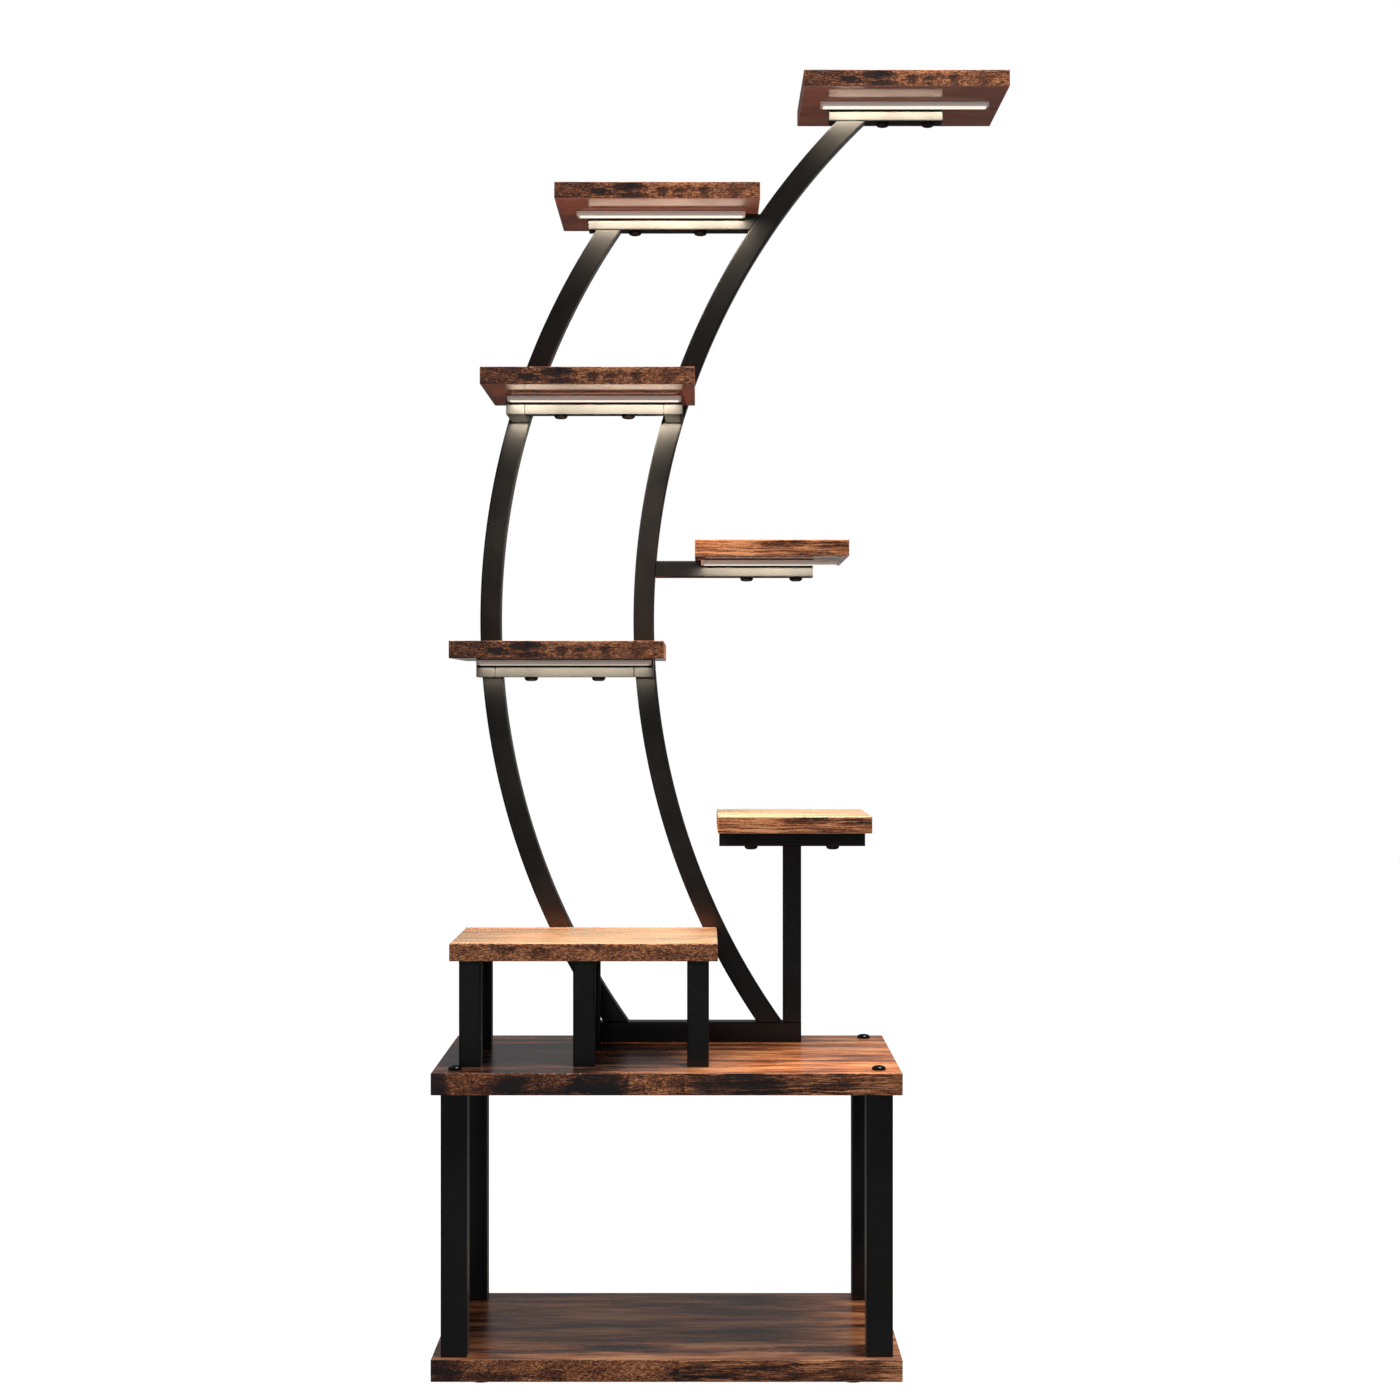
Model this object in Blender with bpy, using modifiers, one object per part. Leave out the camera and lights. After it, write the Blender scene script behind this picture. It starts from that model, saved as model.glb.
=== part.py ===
"""Plant stand with grow lights, in metres, Z up, X to the right and Y towards the back.

A low base of two boards on four legs carries a small bench and a half-moon frame. The frame is two bent
square tubes side by side. It holds four wide shelves and a small side shelf on an arm. Beside it stands a
small shelf on a post. Five of the shelves have a light bar under them. Four levelling feet screw into the
base.

Places are worked out from the base's centre line, its front edge and the floor. An empty then moves
everything so that the origin is under the middle of the whole stand.
"""

import math

import bmesh
import bpy

# Clearances and walls shared by many pieces
SEAT_GAP = 0.0003  # between two pieces that rest on each other
OVERRUN = 0.002  # how far a cutter runs past the face that it opens
MERGE_DISTANCE = 0.00003  # for closing the seams of a turned or filled shape
TUBE_WALL = 0.0012
ROUND_SIDES = 16
SHARP_ANGLE = math.radians(30)

# Base: two boards, four legs and four levelling feet
BASE_WIDTH = 0.529
BASE_THICKNESS = 0.025
FLOOR_GAP = 0.007
LEG_TUBE = 0.030
LEG_LENGTH = 0.296
LEG_INSET = 0.010
LEG_BRIDGE_WIDTH = 0.012
LEG_BRIDGE_THICKNESS = 0.003
BOARD_EASE = 0.0006  # the small chamfer round every board
TUBE_CORNER = 0.0015  # the rounded corner of a straight tube
TUBE_CORNER_STEPS = 2

FOOT_PAD_RADIUS = 0.014
FOOT_PAD_EASE = 0.001
FOOT_NUT_RADIUS = 0.008
FOOT_NUT_HEIGHT = 0.0018
FOOT_STUD_RADIUS = 0.004
FOOT_SIDE_INSET = 0.054
FOOT_END_INSET = 0.035
FOOT_SIDES = 24
STUD_REACH_SHARE = 0.72  # of the bottom board's thickness
STUD_HOLE_SHARE = 0.80  # of the bottom board's thickness

# Boards of the shelves and the bench
SHELF_DEPTH = 0.196
SHELF_THICKNESS = 0.020
SHELF_WIDTH = 0.244
SIDE_SHELF_WIDTH = 0.183
BENCH_WIDTH = 0.305

# Where the bench and the frame stand on the base, from front to back
BENCH_FRONT_INSET = 0.0345
FRAME_CLEARANCE = 0.0065  # from the bench's back edge to the frame
FRAME_TUBE = 0.025
FRAME_BACK_INSET = 0.038

# Bench
BENCH_LEFT_INSET = 0.0171
BENCH_POST_TUBE = 0.025
BENCH_POST_HEIGHT = 0.1214
BENCH_POST_INSET = 0.010
BENCH_BACK_INSET = 0.024
BENCH_PLATE_THICKNESS = 0.004

# Half-moon frame: two equal arcs, their hollow side towards the right
ARC_RADIUS = 0.860  # of a tube's centre line
ARC_SPACING = 0.187
ARC_WAIST_OFFSET = -0.0315  # the right arc's furthest point to the left, from the base's centre line
ARC_WAIST_HEIGHT = 0.5153  # above the middle board
ARC_STEP = math.radians(2.5)
ARC_JOINT_PLUG = 0.012
ARC_SPIGOT_LENGTH = 0.030
SPIGOT_CLEARANCE = 0.0005
FOOT_BAR_HEIGHT = 0.025
FOOT_BAR_OVERHANG = 0.026
FOOT_BAR_HOLES = 3

# Bars under the shelves
BAR_HEIGHT = 0.020
BAR_OVERHANG = 0.009  # past the arc that ends under it
BRACKET_REACH = 0.0885  # from the frame's front face to the bracket's front
BRACKET_BAR_DEPTH = 0.020
BRACKET_ARM_WIDTH = 0.022

# Heights of the shelves' undersides
SIDE_LOWER_RISE = 0.2598  # above the middle board
LOWER_RISE = 0.4653  # above the middle board
SIDE_UPPER_RISE = 0.1229  # above the lower shelf
MIDDLE_RISE = 0.3110  # above the lower shelf
UPPER_RISE = 0.2355  # above the middle shelf
TOP_RISE = 0.1329  # above the upper shelf

# Places of the shelves along their bars
TOP_BAR_LENGTH = 0.138
TOP_BOARD_OVERHANG = 0.0346
TOP_BOLT_OFFSET = 0.0219  # from the right arc's inner side to the nearer bolt
TOP_BOLT_SPACING = 0.0552
UPPER_BOARD_CLEARANCE = 0.0024  # from the upper shelf to the right arc
UPPER_BOLT_OFFSET = 0.0174  # from the left arc's inner side to the nearer bolt
FRONT_SHELF_SHIFT = 0.003  # the two front shelves stand this far to the left of their brackets
WIDE_BOLT_SPACING = 0.080
SIDE_BOARD_GAP = 0.047  # from the right arc to the upper side shelf
SIDE_ARM_SHORTFALL = 0.039  # from the side arm's end to its shelf's right edge
SIDE_ARM_BOLT_END = 0.0204
SIDE_ARM_BOLT_SPACING = 0.0603
POST_WIDTH = 0.022
POST_GAP = 0.0017  # from the right arc's foot to the post
STAND_BAR_LENGTH = 0.178
STAND_BOLT_SPACING = 0.100

# Bolts
BOLT_RADIUS = 0.003
BOLT_HOLE_CLEARANCE = 0.0003
BOLT_HEAD_RADIUS = 0.008
BOLT_HEAD_HEIGHT = 0.0045
BOLT_RIM_SHARE = 0.3  # of the head's height, before its dome starts
BOLT_DOME_STEPS = 3
BOLT_SOCKET_RADIUS = 0.0029
BOLT_SOCKET_SIDES = 6
BOLT_SOCKET_SHARE = 0.5  # of the head's height
BOLT_REACH_SHARE = 0.60  # of a shelf's thickness
BOLT_HOLE_SHARE = 0.70  # of a shelf's thickness

# Light bars
LIGHT_DEPTH = 0.015
LIGHT_HEIGHT = 0.006
LIGHT_GAP = 0.001  # from the bar behind it
LIGHT_LENGTH = 0.205
SIDE_LIGHT_LENGTH = 0.168
LIGHT_SHIFT = 0.0035  # to the right of a wide shelf's middle
LIGHT_BASE_THICKNESS = 0.0016
LIGHT_CAP_LENGTH = 0.003
LIGHT_COVER_WALL = 0.001
LIGHT_INLET_RADIUS = 0.0014
CIRCUIT_WIDTH = 0.010
CIRCUIT_THICKNESS = 0.001
CIRCUIT_END_GAP = 0.002
LED_SIZE = 0.003
LED_HEIGHT = 0.0006
LED_PITCH = 0.016
LED_OVERLAP_SHARE = 0.5  # of an LED's height, sunk into the circuit strip to join them

# Heights
BASE_TOP = FLOOR_GAP + BASE_THICKNESS
MIDDLE_UNDERSIDE = BASE_TOP + LEG_LENGTH
MIDDLE_TOP = MIDDLE_UNDERSIDE + BASE_THICKNESS
BENCH_UNDERSIDE = MIDDLE_TOP + BENCH_POST_HEIGHT
FOOT_BAR_TOP = MIDDLE_TOP + FOOT_BAR_HEIGHT
WAIST_LEVEL = MIDDLE_TOP + ARC_WAIST_HEIGHT
SIDE_LOWER_LEVEL = MIDDLE_TOP + SIDE_LOWER_RISE
LOWER_LEVEL = MIDDLE_TOP + LOWER_RISE
SIDE_UPPER_LEVEL = LOWER_LEVEL + SIDE_UPPER_RISE
MIDDLE_LEVEL = LOWER_LEVEL + MIDDLE_RISE
UPPER_LEVEL = MIDDLE_LEVEL + UPPER_RISE
TOP_LEVEL = UPPER_LEVEL + TOP_RISE

# Places from front to back
BENCH_BACK = BENCH_FRONT_INSET + SHELF_DEPTH
FRAME_FRONT = BENCH_BACK + FRAME_CLEARANCE
FRAME_MIDDLE = FRAME_FRONT + FRAME_TUBE / 2
BASE_DEPTH = FRAME_FRONT + FRAME_TUBE + FRAME_BACK_INSET
BRACKET_FRONT = FRAME_FRONT - BRACKET_REACH
BRACKET_BAR_MIDDLE = BRACKET_FRONT + BRACKET_BAR_DEPTH / 2
CENTRED_SHELF_FRONT = FRAME_MIDDLE - SHELF_DEPTH / 2

# Places from left to right
BASE_LEFT = -BASE_WIDTH / 2
RIGHT_CENTRE = ARC_WAIST_OFFSET + ARC_RADIUS
LEFT_CENTRE = RIGHT_CENTRE - ARC_SPACING
OUTER_RADIUS = ARC_RADIUS + FRAME_TUBE / 2
INNER_RADIUS = ARC_RADIUS - FRAME_TUBE / 2
FACET_DEPTH = INNER_RADIUS * (1 - math.cos(ARC_STEP / 2))  # a flat facet cuts this deep into its circle

COLOURS = {
    "board": ((0.150, 0.062, 0.028), 0.55, 0.0),
    "steel": ((0.012, 0.013, 0.015), 0.42, 0.0),
    "foot": ((0.010, 0.010, 0.010), 0.70, 0.0),
    "bolt": ((0.016, 0.015, 0.015), 0.35, 1.0),
    "light_body": ((0.62, 0.58, 0.52), 0.45, 0.0),
    "light_cover": ((0.95, 0.88, 0.76), 0.35, 0.0),
    "circuit": ((0.86, 0.86, 0.82), 0.50, 0.0),
}


def clear_scene():
    for old in list(bpy.data.objects):
        bpy.data.objects.remove(old, do_unlink=True)


def make_collection(name):
    made = bpy.data.collections.new(name)
    bpy.context.scene.collection.children.link(made)
    return made


clear_scene()
STAND = make_collection("plant_stand")
CUTTERS = make_collection("cutters")


def make_material(name, finish):
    """A plain surface for one piece: colour, roughness and metallic value."""
    colour, roughness, metallic = COLOURS[finish]
    made = bpy.data.materials.new(name)
    made.use_nodes = True
    shader = made.node_tree.nodes["Principled BSDF"]
    shader.inputs["Base Color"].default_value = (*colour, 1)
    shader.inputs["Roughness"].default_value = roughness
    shader.inputs["Metallic"].default_value = metallic
    made.diffuse_color = (*colour, 1)
    return made


def arc_x(centre, radius, level):
    """Where an arc's circle stands at a height."""
    return centre - math.sqrt(radius**2 - (level - WAIST_LEVEL) ** 2)


def arc_angle(radius, level):
    return math.asin((level - WAIST_LEVEL) / radius)


TOP_BAR_LEFT = arc_x(RIGHT_CENTRE, OUTER_RADIUS, TOP_LEVEL - BAR_HEIGHT) - BAR_OVERHANG
TOP_BOARD_LEFT = TOP_BAR_LEFT - TOP_BOARD_OVERHANG

# The whole stand's corner is the base's front left one, and its far side is the top shelf's right edge
MIDDLE_X = (BASE_LEFT + TOP_BOARD_LEFT + SHELF_WIDTH) / 2
MIDDLE_Y = (CENTRED_SHELF_FRONT + SHELF_DEPTH) / 2
ROOT = bpy.data.objects.new("stand_origin", None)
ROOT.location = (-MIDDLE_X, -MIDDLE_Y, 0)
STAND.objects.link(ROOT)


def place(name, mesh, at, turn=(0, 0, 0), finish=None):
    """Puts a mesh in the scene as a piece, or as a hidden cutter where it has no finish."""
    made = bpy.data.objects.new(name, mesh)
    made.parent = ROOT
    made.location = at
    made.rotation_euler = turn
    if finish is None:
        made.hide_render = True
        made.display_type = "WIRE"
        CUTTERS.objects.link(made)
        return made
    STAND.objects.link(made)
    if not mesh.materials:
        mesh.materials.append(None)
    made.material_slots[0].link = "OBJECT"
    made.material_slots[0].material = make_material(name, finish)
    return made


def box_mesh(name, low, high, rounded_along=None):
    """A box between two corners. Its four edges along one axis can be rounded."""
    shape = bmesh.new()
    bmesh.ops.create_cube(shape, size=1)
    for vertex in shape.verts:
        for axis in range(3):
            middle = (low[axis] + high[axis]) / 2
            vertex.co[axis] = middle + vertex.co[axis] * (high[axis] - low[axis])
    if rounded_along is not None:
        ends = [vertex.co for vertex in shape.verts]
        span = max(end[rounded_along] for end in ends) - min(end[rounded_along] for end in ends)
        long_edges = [
            edge
            for edge in shape.edges
            if abs(edge.verts[0].co[rounded_along] - edge.verts[1].co[rounded_along]) > span / 2
        ]
        bmesh.ops.bevel(
            shape,
            geom=long_edges,
            offset=TUBE_CORNER,
            segments=TUBE_CORNER_STEPS,
            profile=0.5,
            affect="EDGES",
        )
    mesh = bpy.data.meshes.new(name)
    shape.to_mesh(mesh)
    shape.free()
    return mesh


def cylinder_mesh(name, radius, length, sides=ROUND_SIDES):
    """A cylinder along Z, standing on its origin."""
    shape = bmesh.new()
    bmesh.ops.create_cone(
        shape, cap_ends=True, segments=sides, radius1=radius, radius2=radius, depth=length
    )
    bmesh.ops.translate(shape, verts=shape.verts, vec=(0, 0, length / 2))
    mesh = bpy.data.meshes.new(name)
    shape.to_mesh(mesh)
    shape.free()
    return mesh


def outline_mesh(name, points, thickness):
    """A flat outline in the local XY plane, thickened half each way along Z."""
    curve = bpy.data.curves.new(name, "CURVE")
    curve.dimensions = "2D"
    curve.fill_mode = "BOTH"
    curve.extrude = thickness / 2
    line = curve.splines.new("POLY")
    line.points.add(len(points) - 1)
    for point, (x, y) in zip(line.points, points):
        point.co = (x, y, 0, 1)
    line.use_cyclic_u = True
    guide = bpy.data.objects.new(name, curve)
    CUTTERS.objects.link(guide)
    graph = bpy.context.evaluated_depsgraph_get()
    mesh = bpy.data.meshes.new_from_object(guide.evaluated_get(graph))
    bpy.data.objects.remove(guide, do_unlink=True)
    shape = bmesh.new()
    shape.from_mesh(mesh)
    bmesh.ops.remove_doubles(shape, verts=shape.verts, dist=MERGE_DISTANCE)
    bmesh.ops.recalc_face_normals(shape, faces=shape.faces)
    shape.to_mesh(mesh)
    shape.free()
    return mesh


def turned_mesh(name, profile, sides):
    """A turned piece from its outer profile, given from top to bottom."""
    mesh = bpy.data.meshes.new(name)
    edges = [(index, index + 1) for index in range(len(profile) - 1)]
    mesh.from_pydata([(radius, 0, height) for radius, height in profile], edges, [])
    guide = bpy.data.objects.new(name, mesh)
    CUTTERS.objects.link(guide)
    screw = guide.modifiers.new("turn", "SCREW")
    screw.steps = sides
    screw.render_steps = sides
    screw.use_merge_vertices = True
    screw.merge_threshold = MERGE_DISTANCE
    graph = bpy.context.evaluated_depsgraph_get()
    turned = bpy.data.meshes.new_from_object(guide.evaluated_get(graph))
    bpy.data.objects.remove(guide, do_unlink=True)
    turned.shade_smooth()
    turned.set_sharp_from_angle(angle=SHARP_ANGLE)
    return turned


def boolean(piece, operation, other):
    made = piece.modifiers.new(operation.lower() + "_" + other.name, "BOOLEAN")
    made.operation = operation
    made.object = other
    made.solver = "EXACT"


def applied_mesh(piece):
    """The piece's mesh with its modifiers applied, for sharing among copies. The piece is removed."""
    graph = bpy.context.evaluated_depsgraph_get()
    mesh = bpy.data.meshes.new_from_object(piece.evaluated_get(graph))
    bpy.data.objects.remove(piece, do_unlink=True)
    return mesh


# Bolts and levelling feet


def bolt_mesh(name, length):
    """A domed bolt, its head hanging below the origin and its shank pointing up."""
    rim = BOLT_HEAD_HEIGHT * BOLT_RIM_SHARE
    profile = [
        (0, length),
        (BOLT_RADIUS, length),
        (BOLT_RADIUS, 0),
        (BOLT_HEAD_RADIUS, 0),
        (BOLT_HEAD_RADIUS, -rim),
    ]
    for step in range(1, BOLT_DOME_STEPS + 1):
        angle = math.pi / 2 * step / BOLT_DOME_STEPS
        radius = BOLT_HEAD_RADIUS * math.cos(angle) if step < BOLT_DOME_STEPS else 0
        profile.append((radius, -rim - (BOLT_HEAD_HEIGHT - rim) * math.sin(angle)))
    body = place(name, turned_mesh(name, profile, ROUND_SIDES), (0, 0, 0))
    depth = BOLT_HEAD_HEIGHT * BOLT_SOCKET_SHARE
    hexagon = cylinder_mesh(name + "_socket", BOLT_SOCKET_RADIUS, depth + OVERRUN, BOLT_SOCKET_SIDES)
    socket = place(name + "_socket", hexagon, (0, 0, -BOLT_HEAD_HEIGHT - OVERRUN))
    boolean(body, "DIFFERENCE", socket)
    made = applied_mesh(body)
    bpy.data.objects.remove(socket, do_unlink=True)
    return made


SHELF_BOLT = bolt_mesh("shelf_bolt", BAR_HEIGHT + 2 * SEAT_GAP + SHELF_THICKNESS * BOLT_REACH_SHARE)
BOLT_HOLE_RADIUS = BOLT_RADIUS + BOLT_HOLE_CLEARANCE


def bolt_places(first, spacing):
    """The two bolts of a shelf, named by side, from the left one's place and their distance."""
    return (("left", first), ("right", first + spacing))


def drill(piece, name, x, y, low, high, radius=BOLT_HOLE_RADIUS, sides=ROUND_SIDES):
    """An upright round hole between two heights."""
    hole = place(name, cylinder_mesh(name, radius, high - low, sides), (x, y, low))
    boolean(piece, "DIFFERENCE", hole)


# Boards


def board(name, low, high):
    """A flat board with its edges eased."""
    made = place(name, box_mesh(name, low, high), (0, 0, 0), finish="board")
    ease = made.modifiers.new("ease", "BEVEL")
    ease.width = BOARD_EASE
    ease.segments = 1
    return made


def build_base():
    """Two boards, four legs between them and the levelling feet."""
    half = BASE_WIDTH / 2
    bottom = board("bottom_board", (-half, 0, FLOOR_GAP), (half, BASE_DEPTH, BASE_TOP))
    middle = board("middle_board", (-half, 0, MIDDLE_UNDERSIDE), (half, BASE_DEPTH, MIDDLE_TOP))

    pad_top = FLOOR_GAP - SEAT_GAP - FOOT_NUT_HEIGHT
    foot_profile = [
        (0, FLOOR_GAP + BASE_THICKNESS * STUD_REACH_SHARE),
        (FOOT_STUD_RADIUS, FLOOR_GAP + BASE_THICKNESS * STUD_REACH_SHARE),
        (FOOT_STUD_RADIUS, FLOOR_GAP - SEAT_GAP),
        (FOOT_NUT_RADIUS, FLOOR_GAP - SEAT_GAP),
        (FOOT_NUT_RADIUS, pad_top),
        (FOOT_PAD_RADIUS - FOOT_PAD_EASE, pad_top),
        (FOOT_PAD_RADIUS, pad_top - FOOT_PAD_EASE),
        (FOOT_PAD_RADIUS, FOOT_PAD_EASE),
        (FOOT_PAD_RADIUS - FOOT_PAD_EASE, 0),
        (0, 0),
    ]
    foot_mesh = turned_mesh("levelling_foot", foot_profile, FOOT_SIDES)
    stud_hole_top = FLOOR_GAP + BASE_THICKNESS * STUD_HOLE_SHARE
    leg_mesh = build_leg_mesh()
    leg_centre = LEG_INSET + LEG_TUBE / 2

    for depth_name, from_front in (("front", True), ("back", False)):
        for side_name, side in (("left", -1), ("right", 1)):
            corner = depth_name + "_" + side_name
            leg_x = side * (half - leg_centre)
            leg_y = leg_centre if from_front else BASE_DEPTH - leg_centre
            place("leg_" + corner, leg_mesh, (leg_x, leg_y, BASE_TOP + SEAT_GAP), finish="steel")
            for piece, underside in ((bottom, FLOOR_GAP), (middle, MIDDLE_UNDERSIDE)):
                through = underside + BASE_THICKNESS + OVERRUN
                drill(piece, piece.name + "_hole_" + corner, leg_x, leg_y, underside - OVERRUN, through)

            foot_x = side * (half - FOOT_SIDE_INSET)
            foot_y = FOOT_END_INSET if from_front else BASE_DEPTH - FOOT_END_INSET
            place("levelling_foot_" + corner, foot_mesh, (foot_x, foot_y, 0), finish="foot")
            radius = FOOT_STUD_RADIUS + BOLT_HOLE_CLEARANCE
            stud_hole = "stud_hole_" + corner
            drill(bottom, stud_hole, foot_x, foot_y, FLOOR_GAP - OVERRUN, stud_hole_top, radius, FOOT_SIDES)


def build_leg_mesh():
    """A square tube with a threaded bridge and a bolt at each end, standing on its origin."""
    length = LEG_LENGTH - 2 * SEAT_GAP
    half = LEG_TUBE / 2
    bore = half - TUBE_WALL
    outer = box_mesh("leg", (-half, -half, 0), (half, half, length), rounded_along=2)
    inner = box_mesh("leg_hollow", (-bore, -bore, -OVERRUN), (bore, bore, length + OVERRUN))
    tube = place("leg", outer, (0, 0, 0))
    hollow = place("leg_hollow", inner, (0, 0, 0))
    boolean(tube, "DIFFERENCE", hollow)
    helpers = [hollow]
    bolt = bolt_mesh("leg_bolt", BASE_THICKNESS + 2 * SEAT_GAP + 2 * LEG_BRIDGE_THICKNESS)
    head_away = BASE_THICKNESS + 2 * SEAT_GAP
    for end, base, head, turn in (
        ("lower", 0, -head_away, (0, 0, 0)),
        ("upper", length - LEG_BRIDGE_THICKNESS, length + head_away, (math.pi, 0, 0)),
    ):
        reach = bore + TUBE_WALL / 2
        low = (-reach, -LEG_BRIDGE_WIDTH / 2, base)
        high = (reach, LEG_BRIDGE_WIDTH / 2, base + LEG_BRIDGE_THICKNESS)
        bridge = place("leg_bridge_" + end, box_mesh("leg_bridge_" + end, low, high), (0, 0, 0))
        fixing = place("leg_bolt_" + end, bolt, (0, 0, head), turn)
        boolean(tube, "UNION", bridge)
        boolean(tube, "UNION", fixing)
        helpers += [bridge, fixing]
    made = applied_mesh(tube)
    for helper in helpers:
        bpy.data.objects.remove(helper, do_unlink=True)
    return made


def build_bench():
    """A board on three frames, each a flat plate on two posts of square tube."""
    left = BASE_LEFT + BENCH_LEFT_INSET
    low = (left, BENCH_FRONT_INSET, BENCH_UNDERSIDE)
    board("bench_board", low, (left + BENCH_WIDTH, BENCH_BACK, BENCH_UNDERSIDE + SHELF_THICKNESS))

    front = BENCH_FRONT_INSET + BENCH_POST_INSET
    back = BENCH_BACK - BENCH_BACK_INSET
    foot = MIDDLE_TOP + SEAT_GAP
    head = BENCH_UNDERSIDE - SEAT_GAP
    tube = BENCH_POST_TUBE

    under_plate = head - BENCH_PLATE_THICKNESS
    frame_outline = [
        (front, foot),
        (front + tube, foot),
        (front + tube, under_plate),
        (back - tube, under_plate),
        (back - tube, foot),
        (back, foot),
        (back, head),
        (front, head),
    ]
    hollow_outline = [
        (TUBE_WALL, foot - OVERRUN),
        (tube - TUBE_WALL, foot - OVERRUN),
        (tube - TUBE_WALL, under_plate),
        (TUBE_WALL, under_plate),
    ]
    turn = (math.pi / 2, 0, math.pi / 2)
    frame_mesh = outline_mesh("bench_frame", frame_outline, tube)
    hollow_mesh = outline_mesh("bench_hollow", hollow_outline, tube - 2 * TUBE_WALL)
    first = left + BENCH_POST_INSET + tube / 2
    last = left + BENCH_WIDTH - BENCH_POST_INSET - tube / 2
    for name, x in (("left", first), ("middle", (first + last) / 2), ("right", last)):
        frame = place("bench_frame_" + name, frame_mesh, (x, 0, 0), turn, "steel")
        for post, y in (("front", front), ("back", back - tube)):
            hollow_name = "bench_hollow_" + name + "_" + post
            boolean(frame, "DIFFERENCE", place(hollow_name, hollow_mesh, (x, y, 0), turn))


# Half-moon frame


def band_points(centre, outer, inner, start, end):
    """The outline of a stretch of arc. Start and end each hold an angle on the outer and the inner circle."""
    steps = max(2, math.ceil((end[0] - start[0]) / ARC_STEP))
    points = []
    for radius, first, last in ((outer, start[0], end[0]), (inner, end[1], start[1])):
        for step in range(steps + 1):
            angle = first + (last - first) * step / steps
            points.append((centre - radius * math.cos(angle), WAIST_LEVEL + radius * math.sin(angle)))
    return points


STANDING = (math.pi / 2, 0, 0)


def arc_section(name, centre, start, end, plugged):
    """A stretch of bent square tube. A plugged one has a spigot that fits into the stretch below."""
    mesh = outline_mesh(name, band_points(centre, OUTER_RADIUS, INNER_RADIUS, start, end), FRAME_TUBE)
    section = place(name, mesh, (0, FRAME_MIDDLE, 0), STANDING, "steel")
    overrun = OVERRUN / ARC_RADIUS
    bore_start = start[0] + ARC_JOINT_PLUG / ARC_RADIUS if plugged else min(start) - overrun
    bore_end = max(end) + overrun
    bore = band_points(
        centre,
        OUTER_RADIUS - TUBE_WALL,
        INNER_RADIUS + TUBE_WALL,
        (bore_start, bore_start),
        (bore_end, bore_end),
    )
    hollow = outline_mesh(name + "_hollow", bore, FRAME_TUBE - 2 * TUBE_WALL)
    boolean(section, "DIFFERENCE", place(name + "_hollow", hollow, (0, FRAME_MIDDLE, 0), STANDING))
    if not plugged:
        return
    inset = TUBE_WALL + SPIGOT_CLEARANCE
    low = start[0] - ARC_SPIGOT_LENGTH / ARC_RADIUS
    high = start[0] + ARC_JOINT_PLUG / 2 / ARC_RADIUS
    spigot = band_points(centre, OUTER_RADIUS - inset, INNER_RADIUS + inset, (low, low), (high, high))
    solid = outline_mesh(name + "_spigot", spigot, FRAME_TUBE - 2 * inset)
    boolean(section, "UNION", place(name + "_spigot", solid, (0, FRAME_MIDDLE, 0), STANDING))


def build_arcs():
    """Two arcs of three sections each, parted behind the lower and the middle shelf's brackets."""
    half_gap = SEAT_GAP / 2 / ARC_RADIUS
    bar_middles = [level - SEAT_GAP - BAR_HEIGHT / 2 for level in (LOWER_LEVEL, MIDDLE_LEVEL)]
    joints = [arc_angle(ARC_RADIUS, level) for level in bar_middles]
    foot_level = FOOT_BAR_TOP + SEAT_GAP
    foot = (arc_angle(OUTER_RADIUS, foot_level), arc_angle(INNER_RADIUS, foot_level))
    arcs = (("left", LEFT_CENTRE, UPPER_LEVEL), ("right", RIGHT_CENTRE, TOP_LEVEL))
    for side, centre, shelf_level in arcs:
        head_level = shelf_level - BAR_HEIGHT - 2 * SEAT_GAP
        head = (arc_angle(OUTER_RADIUS, head_level), arc_angle(INNER_RADIUS, head_level))
        below = [(joint - half_gap, joint - half_gap) for joint in joints]
        above = [(joint + half_gap, joint + half_gap) for joint in joints]
        arc_section("arc_" + side + "_lower", centre, foot, below[0], plugged=False)
        arc_section("arc_" + side + "_middle", centre, above[0], below[1], plugged=True)
        arc_section("arc_" + side + "_upper", centre, above[1], head, plugged=True)


def build_foot_bar():
    """The bar that lies on the middle board and carries both arcs and the post."""
    left = arc_x(LEFT_CENTRE, OUTER_RADIUS, FOOT_BAR_TOP) - FOOT_BAR_OVERHANG
    right = post_left() + POST_WIDTH
    back = FRAME_FRONT + FRAME_TUBE
    base = MIDDLE_TOP + SEAT_GAP
    outer = box_mesh("foot_bar", (left, FRAME_FRONT, base), (right, back, FOOT_BAR_TOP), rounded_along=0)
    bar = place("foot_bar", outer, (0, 0, 0), finish="steel")
    wall = TUBE_WALL
    low = (left + wall, FRAME_FRONT + wall, base + wall)
    high = (right - wall, back - wall, FOOT_BAR_TOP - wall)
    boolean(bar, "DIFFERENCE", place("foot_bar_hollow", box_mesh("foot_bar_hollow", low, high), (0, 0, 0)))
    for hole in range(FOOT_BAR_HOLES):
        x = left + (right - left) * (hole + 0.5) / FOOT_BAR_HOLES
        drill(bar, "foot_bar_hole_" + str(hole + 1), x, FRAME_MIDDLE, base - OVERRUN, base + 2 * wall)


def post_left():
    return arc_x(RIGHT_CENTRE, INNER_RADIUS, FOOT_BAR_TOP) + POST_GAP


# Bars, shelves and light bars


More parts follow.
